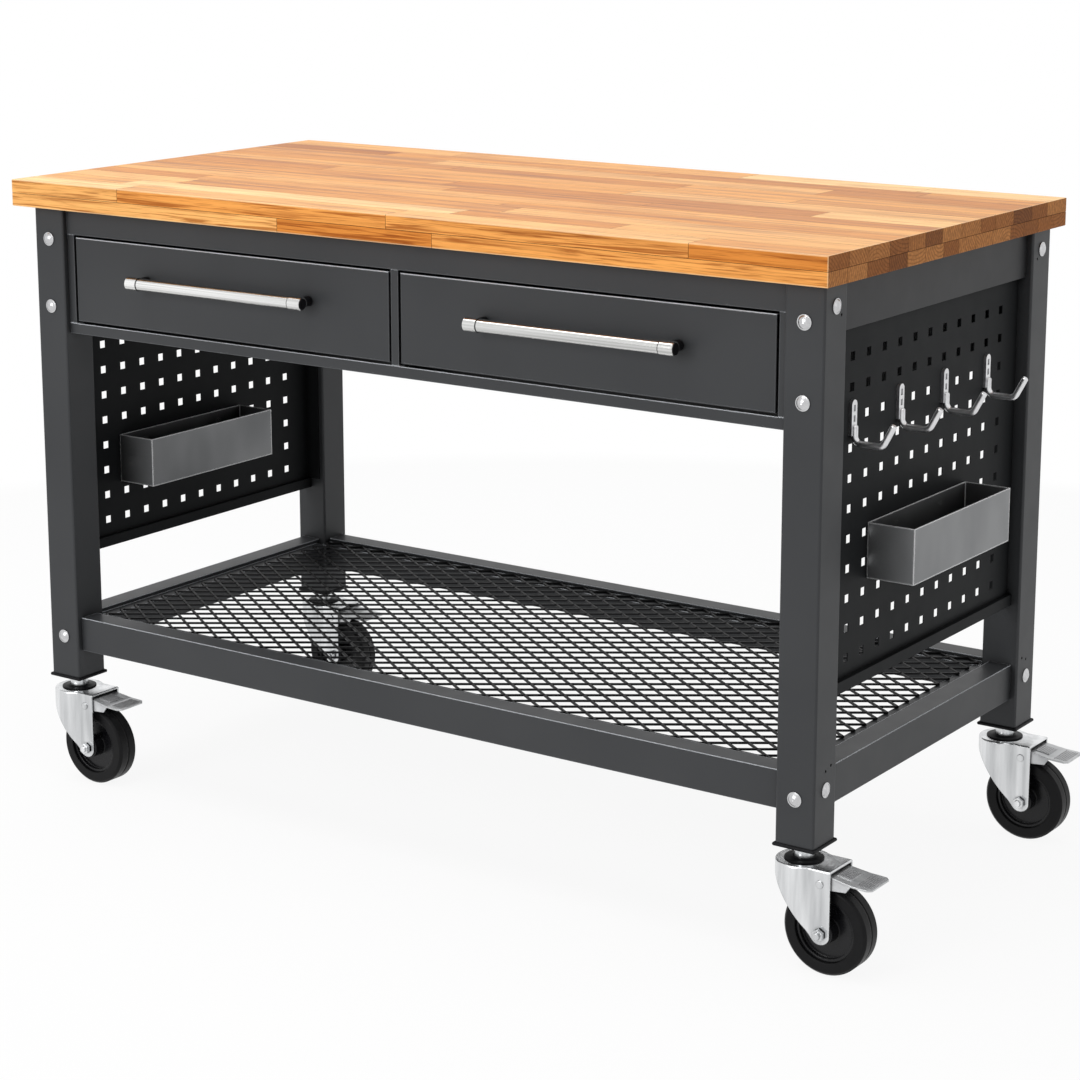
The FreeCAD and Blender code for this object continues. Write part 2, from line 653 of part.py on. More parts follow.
def runners(side, member):
    """The two runners of a drawer: its outer, middle or inner members."""
    step = RUNNER_SHEET + RUNNER_GAP
    half = RUNNER_HEIGHT / 2
    members = {
        "outer": (0, RUNNER_THICKNESS - 2 * RUNNER_SHEET, half),
        "middle": (step, RUNNER_THICKNESS - 3 * RUNNER_SHEET, half - step),
        "inner": (RUNNER_THICKNESS, 2 * step, half - 2 * step),
    }
    walls = ((OPENING_IN, 1), (OPENING_OUT, -1))
    return [on_side(runner_channel(wall, way, *members[member]), side) for wall, way in walls]


def shelf_tube(x, y, long_axis, ledge_side):
    """Closed tube with a ledge along its inner face."""
    ranges = {"x": span(x), "y": span(y), "z": (SHELF_LOW, SHELF_HEIGHT)}
    walls = {name: SHELF_END_PLATE if name == long_axis else SHELF_RAIL_WALL for name in ranges}
    hollow = {name: inset(values, walls[name]) for name, values in ranges.items()}
    ledge = dict(ranges)
    ledge["z"] = (LEDGE_TOP - SHELF_LEDGE_THICKNESS, LEDGE_TOP)
    sign, axis = ledge_side
    if sign == "+":
        ledge[axis] = (ranges[axis][1], ranges[axis][1] + SHELF_LEDGE_WIDTH)
    else:
        ledge[axis] = (ranges[axis][0] - SHELF_LEDGE_WIDTH, ranges[axis][0])
    if long_axis == "y":
        end = FACE_Y - SHELF_RAIL_WIDTH - SHELF_LEDGE_WIDTH
        ledge["y"] = (-end, end)
    tube = joined([block(**ranges), block(**ledge)])
    return tube.cut([block(**hollow)] + bolt_holes(THREAD_HOLE_RADIUS))


def shelf_long_rail(side_y):
    y = (side_y * (FACE_Y - SHELF_RAIL_WIDTH), side_y * FACE_Y)
    return shelf_tube((-IN_X, IN_X), y, "x", "-y" if side_y > 0 else "+y")


def shelf_end_rail(side_x):
    x = (side_x * (FACE_X - SHELF_RAIL_WIDTH), side_x * FACE_X)
    return shelf_tube(x, (-IN_Y, IN_Y), "y", "-x" if side_x > 0 else "+x")


def level_face(points, z):
    """Flat face at a height from X, Y pairs."""
    corners = [V(x, y, z) for x, y in points]
    return Part.Face(Part.makePolygon(corners + corners[:1]))


def mesh_outline(inset, z):
    """Face between the shelf rails, notched round the four legs."""
    rail_x = FACE_X - SHELF_RAIL_WIDTH - inset
    rail_y = FACE_Y - SHELF_RAIL_WIDTH - inset
    leg_x = IN_X - inset
    leg_y = IN_Y - inset
    quarter = [(rail_x, leg_y), (leg_x, leg_y), (leg_x, rail_y)]
    half = quarter + [(-x, y) for x, y in reversed(quarter)]
    return level_face(half + [(-x, -y) for x, y in half], z)


def shelf_mesh():
    """Deck of staggered diamonds inside a plain border, cut off where they cross it."""
    low = MESH_TOP - MESH_THICKNESS
    field = mesh_outline(MESH_CLEARANCE + MESH_BORDER, low)
    to_edge = MESH_LONG_WAY * MESH_SHORT_WAY / (2 * math.hypot(MESH_LONG_WAY, MESH_SHORT_WAY))
    shrink = 1 - MESH_STRAND / 2 / to_edge
    gap_x = MESH_LONG_WAY / 2 * shrink
    gap_y = MESH_SHORT_WAY / 2 * shrink
    columns = math.ceil(FACE_X / (MESH_LONG_WAY / 2))
    rows = math.ceil(FACE_Y / (MESH_SHORT_WAY / 2))
    wires = [mesh_outline(MESH_CLEARANCE, low).OuterWire]
    for column in range(-columns, columns + 1):
        for row in range(-rows, rows + 1):
            if (column + row) % 2:
                continue
            x = column * MESH_LONG_WAY / 2
            y = row * MESH_SHORT_WAY / 2
            gap = level_face([(x - gap_x, y), (x, y - gap_y), (x + gap_x, y), (x, y + gap_y)], low)
            open_faces = gap.common(field).Faces
            wires += [face.OuterWire for face in open_faces if face.Area > MESH_STRAND ** 2]
    return Part.makeFace(wires, "Part::FaceMakerBullseye").extrude(V(0, 0, MESH_THICKNESS))


def peg_place(column, row):
    """Depth and height of a square hole, counted from the front and from the top."""
    y = (column - (PEG_COLUMNS - 1) / 2) * PEG_PITCH_ACROSS
    z = PEG_TOP - row * PEG_PITCH_DOWN
    return y, z


def rectangle_in_side(x, y, z):
    """Closed rectangle in a plane of constant X."""
    points = [V(x, y[0], z[0]), V(x, y[1], z[0]), V(x, y[1], z[1]), V(x, y[0], z[1])]
    return Part.makePolygon(points + points[:1])


def peg_panel(side):
    """Sheet with square holes, the two strips behind its ends, and the rail along its foot."""
    wires = [rectangle_in_side(PANEL_BACK, (-IN_Y, IN_Y), (PANEL_SHEET_LOW, APRON_BOTTOM))]
    half = PEG_HOLE / 2
    for column in range(PEG_COLUMNS):
        for row in range(PEG_ROWS):
            y, z = peg_place(column, row)
            wires.append(rectangle_in_side(PANEL_BACK, (y - half, y + half), (z - half, z + half)))
    sheet = Part.makeFace(wires, "Part::FaceMakerBullseye").extrude(V(PANEL_SHEET, 0, 0))
    strip_x = (PANEL_FACE - PANEL_FLANGE, PANEL_BACK)
    strip_z = (PANEL_SHEET_LOW, APRON_BOTTOM)
    strips = []
    for end in (-1, 1):
        strip = block(strip_x, (end * (IN_Y - PANEL_SHEET), end * IN_Y), strip_z)
        strips.append(strip.cut(bolt_holes(BOLT_HOLE_RADIUS)))
    middle = (PANEL_FACE + PANEL_BACK) / 2
    rail_x = (middle - PANEL_RAIL_SIZE / 2, middle + PANEL_RAIL_SIZE / 2)
    rail_z = (PANEL_BOTTOM_HEIGHT, PANEL_SHEET_LOW)
    bore = block(inset(rail_x, PANEL_RAIL_WALL), (-IN_Y, IN_Y), inset(rail_z, PANEL_RAIL_WALL))
    rail = block(rail_x, (-IN_Y, IN_Y), rail_z).cut(bore)
    return [on_side(piece, side) for piece in [sheet, rail] + strips]


def hole_tab(face, way, y, z):
    """Tab from a panel face through a square hole and down behind the sheet."""
    seat = z - PEG_HOLE / 2 + TAB_CLEARANCE
    behind = face - way * (PANEL_SHEET + TAB_CLEARANCE)
    back = behind - way * TAB_THICKNESS
    profile = [
        V(face, y - TAB_WIDTH / 2, seat),
        V(face, y - TAB_WIDTH / 2, seat + TAB_THICKNESS),
        V(back, y - TAB_WIDTH / 2, seat + TAB_THICKNESS),
        V(back, y - TAB_WIDTH / 2, seat - TAB_LIP),
        V(behind, y - TAB_WIDTH / 2, seat - TAB_LIP),
        V(behind, y - TAB_WIDTH / 2, seat),
    ]
    return prism(profile, V(0, TAB_WIDTH, 0))


def hung_bin(face, way, row, columns):
    """Open bin against a panel face, standing out from it along +X or -X, on tabs in two holes."""
    row_from_top = row % PEG_ROWS
    y, z = peg_place(sum(columns) / 2, row_from_top)
    top = z + BIN_TAB_DROP
    ends = (y - BIN_LENGTH / 2, y + BIN_LENGTH / 2)
    pan = tray((face, face + way * BIN_DEPTH), ends, (top - BIN_HEIGHT, top), BIN_SHEET, "+z")
    tabs = [hole_tab(face, way, *peg_place(column, row_from_top)) for column in columns]
    return joined([pan] + tabs)


def hook_strip(y, low, top):
    """Flat strip with a round top and two oblong slots pressed into its face."""
    half = HOOK_STRIP_WIDTH / 2
    sides = Part.makePolygon([
        V(PANEL_FACE, y + half, top - half),
        V(PANEL_FACE, y + half, low),
        V(PANEL_FACE, y - half, low),
        V(PANEL_FACE, y - half, top - half),
    ])
    crown = Part.Arc(sides.Vertexes[-1].Point, V(PANEL_FACE, y, top), sides.Vertexes[0].Point).toShape()
    strip = Part.Face(Part.Wire(sides.Edges + [crown])).extrude(V(HOOK_STRIP_THICKNESS, 0, 0))
    slot_x = (PANEL_FACE + HOOK_STRIP_THICKNESS / 2, PANEL_FACE + HOOK_STRIP_THICKNESS)
    slot_y = (y - HOOK_SLOT_WIDTH / 2, y + HOOK_SLOT_WIDTH / 2)
    slot_tops = [top - half - step * (HOOK_SLOT_LENGTH + HOOK_SLOT_WIDTH) for step in (0, 1)]
    return strip.cut([block(slot_x, slot_y, (high - HOOK_SLOT_LENGTH, high)) for high in slot_tops])


def peg_hook(column):
    """Slotted strip flat on the panel, with a bent rod below it and a tab in a hole."""
    y, z = peg_place(column % PEG_COLUMNS, HOOK_ROW)
    top = z + HOOK_STRIP_RISE
    low = top - HOOK_STRIP_LENGTH
    rod_x = PANEL_FACE + HOOK_ROD_DIAMETER / 2 + HOOK_ROD_STANDOFF
    bar = bent_rod(rod_x, y, low + HOOK_STRIP_WIDTH, HOOK_ROD_DIAMETER / 2)
    return joined([hook_strip(y, low, top), bar, hole_tab(PANEL_FACE, 1, y, z)])


def bent_rod(x, y, z, radius):
    """Round bar down, out along +X and up at the tip, with arcs at its two bends and chamfered ends."""
    turn = HOOK_BEND_RADIUS
    tip = math.radians(HOOK_TIP_ANGLE)
    floor = z - HOOK_STRIP_WIDTH - turn
    start = V(x, y, z)
    bend_in = V(x, y, floor + turn)
    bend_out = V(x + turn, y, floor)
    second = V(x + HOOK_REACH, y, floor)
    centre = V(second.x, y, floor + turn)
    bend_end = centre + V(math.sin(tip), 0, -math.cos(tip)) * turn
    middle = centre + V(math.sin(tip / 2), 0, -math.cos(tip / 2)) * turn
    end = bend_end + V(math.cos(tip), 0, math.sin(tip)) * HOOK_TIP_LENGTH
    corner = turn * (1 - math.sqrt(0.5))
    path = Part.Wire([
        Part.makeLine(start, bend_in),
        Part.Arc(bend_in, V(x + corner, y, floor + corner), bend_out).toShape(),
        Part.makeLine(bend_out, second),
        Part.Arc(second, middle, bend_end).toShape(),
        Part.makeLine(bend_end, end),
    ])
    bar = path.makePipeShell([Part.Wire([Part.makeCircle(radius, start, AXIS_Z)])], True, False)
    ends = [edge for edge in bar.Edges if (edge.CenterOfMass - start).Length < radius / 2]
    ends += [edge for edge in bar.Edges if (edge.CenterOfMass - end).Length < radius / 2]
    return bar.makeChamfer(HOOK_END_CHAMFER, ends)


def caster_stem():
    """Threaded stem, collar, king pin and the flange that holds the fork up."""
    collar_low = FORK_TOP_HEIGHT + SWIVEL_GAP
    flange_top = FORK_UNDERSIDE - SWIVEL_GAP
    flange_low = flange_top - KING_FLANGE_THICKNESS
    stem_top = LEG_FOOT_HEIGHT + CAP_PLUG_LENGTH
    outline = [
        V(0, 0, flange_low),
        V(KING_FLANGE_DIAMETER / 2, 0, flange_low),
        V(KING_FLANGE_DIAMETER / 2, 0, flange_top),
        V(KING_PIN_DIAMETER / 2, 0, flange_top),
        V(KING_PIN_DIAMETER / 2, 0, collar_low),
        V(STEM_COLLAR_DIAMETER / 2, 0, collar_low),
        V(STEM_COLLAR_DIAMETER / 2, 0, CAP_BOTTOM),
        V(STEM_DIAMETER / 2, 0, CAP_BOTTOM),
        V(STEM_DIAMETER / 2, 0, stem_top),
        V(0, 0, stem_top),
    ]
    return turned(outline, ORIGIN, AXIS_Z)


def caster_dust_ring():
    low = FORK_TOP_HEIGHT + SWIVEL_GAP
    inner = STEM_COLLAR_DIAMETER / 2 + SWIVEL_GAP
    outer = DUST_RING_DIAMETER / 2
    outline = [
        V(inner, 0, low),
        V(outer, 0, low),
        V(outer, 0, low + DUST_RING_HEIGHT / 3),
        V((inner + outer) / 2, 0, low + DUST_RING_HEIGHT / 2),
        V(inner, 0, low + DUST_RING_HEIGHT),
    ]
    return turned(outline, ORIGIN, AXIS_Z)


def fork_plan(inset, front):
    """Plan of the fork: a round back that runs into two flat cheeks."""
    half = FORK_HALF - inset
    back = FORK_BACK_RADIUS - inset
    blend = FORK_BLEND_RADIUS + inset
    reach = math.sqrt((back + blend) ** 2 - (half + blend) ** 2)
    centre = V(reach, half + blend, 0)
    to_back = V(centre).normalize()
    touch = to_back * back
    bend = centre + (V(0, -1, 0) - to_back).normalize() * blend

    def mirrored(point):
        return V(point.x, -point.y, point.z)

    flat_end = V(reach, half, 0)
    corner = V(front, half, 0)
    return Part.Wire([
        Part.makeLine(mirrored(corner), mirrored(flat_end)),
        Part.Arc(mirrored(flat_end), mirrored(bend), mirrored(touch)).toShape(),
        Part.Arc(mirrored(touch), V(-back, 0, 0), touch).toShape(),
        Part.Arc(touch, bend, flat_end).toShape(),
        Part.makeLine(flat_end, corner),
        Part.makeLine(corner, mirrored(corner)),
    ])


def tangent_point(outside, centre, radius, turn):
    """Where a line from a point in the XZ plane touches a circle, on one side of it."""
    line = outside - centre
    angle = math.atan2(line.z, line.x) + turn * math.acos(radius / line.Length)
    return centre + V(math.cos(angle), 0, math.sin(angle)) * radius


def fork_side_profile():
    """Side view of the fork: deep at the back, tapering to a round end at the axle."""
    spare = FORK_SHEET
    above = FORK_TOP_HEIGHT + spare
    back = V(-FORK_BACK_RADIUS - spare, 0, FORK_TOP_HEIGHT - FORK_BACK_DEPTH)
    front = V(FORK_FRONT_REACH, 0, FORK_TOP_HEIGHT - FORK_FRONT_DEPTH)
    back_touch = tangent_point(back, AXLE_CENTRE, FORK_END_RADIUS, 1)
    front_touch = tangent_point(front, AXLE_CENTRE, FORK_END_RADIUS, -1)
    bottom = AXLE_CENTRE - AXIS_Z * FORK_END_RADIUS
    corners = [front_touch, front, V(front.x, 0, above), V(back.x, 0, above), back, back_touch]
    edges = Part.makePolygon(corners).Edges
    round_end = Part.Arc(back_touch, bottom, front_touch).toShape()
    return Part.Face(Part.Wire(edges + [round_end]))


def caster_fork():
    """Pressed fork, and the rivet that its brake pedal turns on."""
    low = WHEEL_RADIUS - 2 * FORK_END_RADIUS
    skin = Part.Face(fork_plan(0, FORK_FRONT_REACH)).extrude(V(0, 0, FORK_TOP_HEIGHT - low))
    rim = [edge for edge in skin.Edges if edge.BoundBox.ZMin > FORK_TOP_HEIGHT - low - FORK_SHEET]
    skin = skin.makeFillet(FORK_TOP_ROUNDING, rim).translated(V(0, 0, low))
    past_front = FORK_FRONT_REACH + FORK_WIDTH
    hollow = Part.Face(fork_plan(FORK_SHEET, past_front)).extrude(V(0, 0, FORK_UNDERSIDE - low))
    shell = skin.cut(hollow.translated(V(0, 0, low)))
    side_view = fork_side_profile().extrude(V(0, 2 * FORK_WIDTH, 0)).translated(V(0, -FORK_WIDTH, 0))
    shell = shell.common(side_view)
    across = V(0, FORK_WIDTH, 0)
    king_hole = rod(KING_PIN_DIAMETER / 2 + RUNNING_CLEARANCE, ORIGIN, V(0, 0, BENCH_HEIGHT))
    axle_hole = rod(AXLE_DIAMETER / 2 + THREAD_CLEARANCE, AXLE_CENTRE - across, AXLE_CENTRE + across)
    pivot = PEDAL_PIVOT_DIAMETER / 2
    rivet_hole = rod(pivot + THREAD_CLEARANCE, PEDAL_PIVOT - across, PEDAL_PIVOT + across)
    head_reach = FORK_HALF + PEDAL_RIVET_HEAD_HEIGHT
    head = PEDAL_RIVET_HEAD_DIAMETER / 2
    rivet = [
        V(0, -head_reach, 0),
        V(head, -head_reach, 0),
        V(head, -FORK_HALF, 0),
        V(pivot, -FORK_HALF, 0),
        V(pivot, FORK_HALF, 0),
        V(head, FORK_HALF, 0),
        V(head, head_reach, 0),
        V(0, head_reach, 0),
    ]
    rivet_solid = turned(rivet, ORIGIN, AXIS_Y).translated(PEDAL_PIVOT)
    return [shell.cut([king_hole, axle_hole, rivet_hole]), rivet_solid]


def caster_axle():
    """Axle bolt along Y with its spacer tube, washers and nut."""
    shank = AXLE_DIAMETER / 2
    seat = FORK_HALF + AXLE_WASHER_THICKNESS
    end = seat + AXLE_HEAD_HEIGHT + AXLE_END_PROUD
    loose = shank + THREAD_CLEARANCE
    head = hexagon(AXLE_HEAD_ACROSS_FLATS, seat, seat + AXLE_HEAD_HEIGHT)
    bolt = joined([rod(shank, V(0, 0, -end), V(0, 0, seat)), head])
    bore = rod(loose, V(0, 0, -end), V(0, 0, end))
    nut = hexagon(AXLE_HEAD_ACROSS_FLATS, -seat - AXLE_HEAD_HEIGHT, -seat).cut(bore)
    spacer = rod(AXLE_SPACER_DIAMETER / 2, V(0, 0, -FORK_INNER_HALF), V(0, 0, FORK_INNER_HALF)).cut(bore)
    washer = rod(AXLE_WASHER_DIAMETER / 2, V(0, 0, FORK_HALF), V(0, 0, seat)).cut(bore)
    far_washer = washer.translated(V(0, 0, -FORK_HALF - seat))
    return [facing(piece, AXLE_CENTRE, AXIS_Y) for piece in (bolt, nut, spacer, washer, far_washer)]


def wheel_hub():
    """Wheel centre: boss, web and rim turned about Y."""
    bore = AXLE_SPACER_DIAMETER / 2 + RUNNING_CLEARANCE
    boss = HUB_BOSS_DIAMETER / 2
    seat = WHEEL_RADIUS - TYRE_DEPTH
    rim = seat - HUB_RIM_DEPTH
    boss_half = FORK_INNER_HALF - SWIVEL_GAP
    web_half = HUB_WEB_THICKNESS / 2
    rim_half = WHEEL_WIDTH / 2 - HUB_RIM_RECESS
    half_section = [
        (bore, boss_half),
        (boss, boss_half),
        (boss, web_half),
        (rim, web_half),
        (rim, rim_half),
        (seat, rim_half),
    ]
    outline = [V(radius, out, 0) for radius, out in half_section]
    outline += [V(radius, -out, 0) for radius, out in reversed(half_section)]
    return turned(outline, ORIGIN, AXIS_Y).translated(AXLE_CENTRE)


def wheel_tyre():
    """Tyre with chamfered shoulders and a groove round the middle of its tread."""
    seat = WHEEL_RADIUS - TYRE_DEPTH
    half = WHEEL_WIDTH / 2
    shoulder = WHEEL_RADIUS - WHEEL_EDGE_CHAMFER
    groove = TREAD_GROOVE_WIDTH / 2
    half_section = [
        (seat, half),
        (shoulder, half),
        (WHEEL_RADIUS, half - WHEEL_EDGE_CHAMFER),
        (WHEEL_RADIUS, groove),
        (WHEEL_RADIUS - TREAD_GROOVE_DEPTH, groove),
    ]
    outline = [V(radius, out, 0) for radius, out in half_section]
    outline += [V(radius, -out, 0) for radius, out in reversed(half_section)]
    return turned(outline, ORIGIN, AXIS_Y).translated(AXLE_CENTRE)


def across_pedal(points, half_width):
    """Side-view outline of the pedal, given its width."""
    across = V(0, half_width, 0)
    return prism([point - across for point in points], across * 2)


def pedal_plan(root, kink, tip):
    """Top view of the pedal: it fits inside the fork, then widens to the toe."""
    half_toe = PEDAL_TIP_WIDTH / 2
    fork_end = V(FORK_FRONT_REACH + PEDAL_SIDE_GAP, 0, 0)
    edge = [
        V(root.x, PEDAL_HALF, 0),
        V(fork_end.x, PEDAL_HALF, 0),
        V(kink.x, half_toe, 0),
        V(tip.x - PEDAL_TIP_CHAMFER, half_toe, 0),
        V(tip.x, half_toe - PEDAL_TIP_CHAMFER, 0),
    ]
    return prism(edge + [V(point.x, -point.y, 0) for point in reversed(edge)], V(0, 0, BENCH_HEIGHT))


def brake_pedal():
    """Folded pedal: a lever with two cheeks on the rivet, a bent toe, and a shoe over the tread."""

    def side_point(reach, drop):
        return V(reach, 0, FORK_TOP_HEIGHT - drop)

    root = side_point(PEDAL_ROOT_REACH, PEDAL_ROOT_DROP)
    kink = side_point(PEDAL_KINK_REACH, PEDAL_KINK_DROP)
    tip = side_point(PEDAL_TIP_REACH, PEDAL_TIP_DROP)
    sheet = V(0, 0, PEDAL_SHEET)
    under = sheet * -0.5
    folded = across_pedal([root, kink, tip, tip - sheet, kink - sheet, root - sheet], FORK_WIDTH)
    plate = folded.common(pedal_plan(root, kink, tip))
    slope = (kink.z - root.z) / (kink.x - root.x)

    def on_lever(reach):
        return V(reach, 0, root.z + slope * (reach - root.x))

    pad_line = [on_lever(reach) for reach in PEDAL_PAD_REACH]
    pad_top = [point + V(0, 0, PEDAL_PAD_HEIGHT) for point in reversed(pad_line)]
    pad = across_pedal([point + under for point in pad_line] + pad_top, PEDAL_PAD_WIDTH / 2)
    cheek_low = PEDAL_ROOT_DROP + PEDAL_CHEEK_DEPTH
    cheek = [
        root + under,
        side_point(PEDAL_ROOT_REACH, cheek_low),
        side_point(PEDAL_PIVOT_REACH + PEDAL_PIVOT_DIAMETER, cheek_low + PEDAL_SHEET),
        side_point(PEDAL_CHEEK_REACH, cheek_low),
        kink + under,
    ]
    cheek_at = [V(0, -PEDAL_HALF, 0), V(0, PEDAL_HALF - PEDAL_SHEET, 0)]
    cheeks = [prism([point + place for point in cheek], V(0, PEDAL_SHEET, 0)) for place in cheek_at]

    shoe_top = [on_lever(reach) + under for reach in SHOE_REACH]
    shoe_low = [V(reach, 0, WHEEL_RADIUS) for reach in reversed(SHOE_REACH)]
    shoe = across_pedal(shoe_top + shoe_low, SHOE_WIDTH / 2)
    across = V(0, FORK_WIDTH, 0)
    tread = rod(WHEEL_RADIUS + SHOE_GAP, AXLE_CENTRE - across, AXLE_CENTRE + across)
    tread.rotate(PEDAL_PIVOT, AXIS_Y, -PEDAL_PRESS_ANGLE)
    pivot_radius = PEDAL_PIVOT_DIAMETER / 2 + RUNNING_CLEARANCE
    pivot_hole = rod(pivot_radius, PEDAL_PIVOT - across, PEDAL_PIVOT + across)
    return joined([plate, pad, shoe.cut(tread)] + cheeks).cut(pivot_hole)


def write(name, shapes):
    """Write one node, moved to the middle of the whole bench."""
    solids = shapes if isinstance(shapes, list) else [shapes]
    placed = [shape.translated(FRAME_SHIFT) for shape in solids]
    node = placed[0] if len(placed) == 1 else Part.makeCompound(placed)
    node.exportStep(f"parts/{name}.step")


def write_frame():
    write("worktop", worktop())
    write("worktop_screws", worktop_screws())
    for place, sides in LEG_PLACES.items():
        write(f"leg_{place}", leg(*sides))
    write("leg_end_caps", [leg_end_cap(*sides) for sides in LEG_PLACES.values()])
    write("apron_left", side_apron(-1))
    write("apron_right", side_apron(1))
    write("apron_rear", rear_apron())
    write("frame_bolts", frame_bolts())


def write_case():
    write("case_top_rail", case_top_rail())
    write("case_face_frame", case_face_frame())
    write("case_side_walls", [case_side_wall(side) for side in (-1, 1)])
    write("case_divider", case_divider())
    write("runner_outer_members", runners(-1, "outer") + runners(1, "outer"))


def write_drawer(name, side):
    write(f"drawer_{name}_front", drawer_front(side))
    write(f"drawer_{name}_box", drawer_box(side))
    write(f"drawer_{name}_handle_bar", handle_bar(side))
    write(f"drawer_{name}_handle_posts", handle_posts(side))
    write(f"drawer_{name}_runner_inner", runners(side, "inner"))
    write(f"drawer_{name}_runner_middle", runners(side, "middle"))


def write_shelf():
    write("shelf_rail_front", shelf_long_rail(-1))
    write("shelf_rail_rear", shelf_long_rail(1))
    write("shelf_rail_left", shelf_end_rail(-1))
    write("shelf_rail_right", shelf_end_rail(1))
    write("shelf_mesh", shelf_mesh())


def write_panels():
    write("peg_panel_left", peg_panel(-1))
    write("peg_panel_right", peg_panel(1))
    write("bin_left", hung_bin(-PANEL_BACK, 1, BIN_LEFT_ROW, BIN_LEFT_COLUMNS))
    write("bin_right", hung_bin(PANEL_FACE, 1, BIN_RIGHT_ROW, BIN_RIGHT_COLUMNS))
    write("peg_hooks", [peg_hook(column) for column in HOOK_COLUMNS])


def write_casters():
    spots = {place: V(side_x * LEG_X, side_y * LEG_Y, 0) for place, (side_x, side_y) in LEG_PLACES.items()}
    write("caster_stems", [caster_stem().translated(spot) for spot in spots.values()])
    write("caster_dust_rings", [caster_dust_ring().translated(spot) for spot in spots.values()])
    for place, spot in spots.items():
        write(f"caster_{place}_fork", [piece.translated(spot) for piece in caster_fork()])
        write(f"caster_{place}_axle", [piece.translated(spot) for piece in caster_axle()])
        write(f"caster_{place}_hub", wheel_hub().translated(spot))
        write(f"caster_{place}_tyre", wheel_tyre().translated(spot))
        write(f"caster_{place}_pedal", brake_pedal().translated(spot))


def main():
    os.makedirs("parts", exist_ok=True)
    write_frame()
    write_case()
    write_drawer("left", -1)
    write_drawer("right", 1)
    write_shelf()
    write_panels()
    write_casters()


if __name__ == "__main__":
    main()
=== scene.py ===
import math
import random

import bmesh
import bpy
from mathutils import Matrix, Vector


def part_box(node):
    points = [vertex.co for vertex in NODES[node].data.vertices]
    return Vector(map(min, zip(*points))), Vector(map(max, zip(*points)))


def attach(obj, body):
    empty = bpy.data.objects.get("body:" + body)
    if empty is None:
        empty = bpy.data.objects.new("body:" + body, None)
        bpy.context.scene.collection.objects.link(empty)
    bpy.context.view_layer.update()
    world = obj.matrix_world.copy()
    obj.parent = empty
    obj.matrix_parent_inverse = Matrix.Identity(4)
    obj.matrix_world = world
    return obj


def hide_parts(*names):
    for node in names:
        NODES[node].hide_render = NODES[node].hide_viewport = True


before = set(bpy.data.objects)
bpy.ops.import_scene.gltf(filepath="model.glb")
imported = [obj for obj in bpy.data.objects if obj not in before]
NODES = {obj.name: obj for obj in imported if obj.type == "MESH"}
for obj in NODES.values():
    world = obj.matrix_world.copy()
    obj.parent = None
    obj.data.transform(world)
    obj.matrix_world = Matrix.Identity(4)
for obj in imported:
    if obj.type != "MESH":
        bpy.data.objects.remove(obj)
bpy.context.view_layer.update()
LEG_PLACES = ("front_left", "front_right", "rear_left", "rear_right")
RAIL_SIDES = ("front", "rear", "left", "right")
DRAWER_SIDES = ("left", "right")

# Camera, fitted to the photograph's frame of 1080 by 1080 pixels
CAMERA_PLACE = (1.9395, -2.7928, 1.2409)
CAMERA_YAW = 34.79
CAMERA_PITCH = 12.11
CAMERA_FOCAL_PIXELS = 2682.0
CAMERA_AXIS_PIXELS = (542.2, 433.0)
FRAME_PIXELS = 1080.0
SENSOR_WIDTH = 36.0

# Lamps: place, the point that each faces, its two sides in metres and its watts
LAMPS = {
    "overhead": ((-0.3, -0.4, 3.2), (0, 0, 0.6), (3.0, 2.2), 66.0),
    "front_left": ((-1.2, -5.6, 2.4), (0, 0, 0.5), (2.6, 2.6), 105.0),
    "right": ((3.4, -0.6, 1.6), (0, 0, 0.5), (1.6, 2.0), 2.0),
}

# Surroundings and floor, which fades to white between two distances from the middle
WHITE = (1.0, 1.0, 1.0, 1.0)
WORLD_LIGHT = 0.40
FLOOR_SIZE = 14.0
FLOOR_DROP = 0.0005
FLOOR_GREY = 0.92
FLOOR_ROUGHNESS = 0.9
FLOOR_FADE = (0.9, 2.2)
FLOOR_LEAST_WHITE = 0.91

# Worktop: rows of staves in two layers
STAVE_LAYERS = 2
STAVE_WIDTHS = (0.036, 0.052)
STAVE_LENGTHS = (0.22, 0.62)
FIRST_STAVE_LENGTHS = (0.08, STAVE_LENGTHS[1])
LAST_STAVE_SHARE = 0.6
STAVE_JOINT = 0.0005
STAVE_TONE = 0.60
STAVE_TONE_SPREAD = 0.34
STAVE_SHIFT = 5.0
STAVE_HEART = (0.02, 0.07)
STAVE_SEED = 11
TOP_CHAMFER = 0.0015
CHAMFER_SEGMENTS = 2
CHAMFER_PROFILE = 0.6
OILED_EDGE, SAWN_END, GLUE_LINE = 1, 2, 3
LEAST_END_FACING = 0.8
LEAST_TOP_FACING = 0.3
SAME_PLACE = 1e-6

# Expanded metal of the shelf
MESH_LONG_WAY = 0.040
MESH_SHORT_WAY = 0.0277
MESH_STRAND_WIDTH = 0.0027
MESH_STRAND_HEIGHT = 0.0024
MESH_STRAND_OVERLAP = MESH_STRAND_WIDTH / 3

# Brake pedals: each tread's first and last reach and drop, half its ribs' length, their number
PEDAL_TIP_REACH = 0.098
PEDAL_TREADS = (
    ((0.049, 0.00216), (0.068, 0.00496), 0.0115, 7),
    ((0.077, 0.00666), (0.095, 0.00738), 0.0190, 6),
)
RIB_WIDTH = 0.0016
RIB_CREST_WIDTH = RIB_WIDTH / 2
RIB_HEIGHT = 0.0006
RIB_SINK = RIB_HEIGHT / 2

# Corners of a ring of four points, as turns across it and along it
RING_CORNERS = ((-1, -1), (1, -1), (1, 1), (-1, 1))

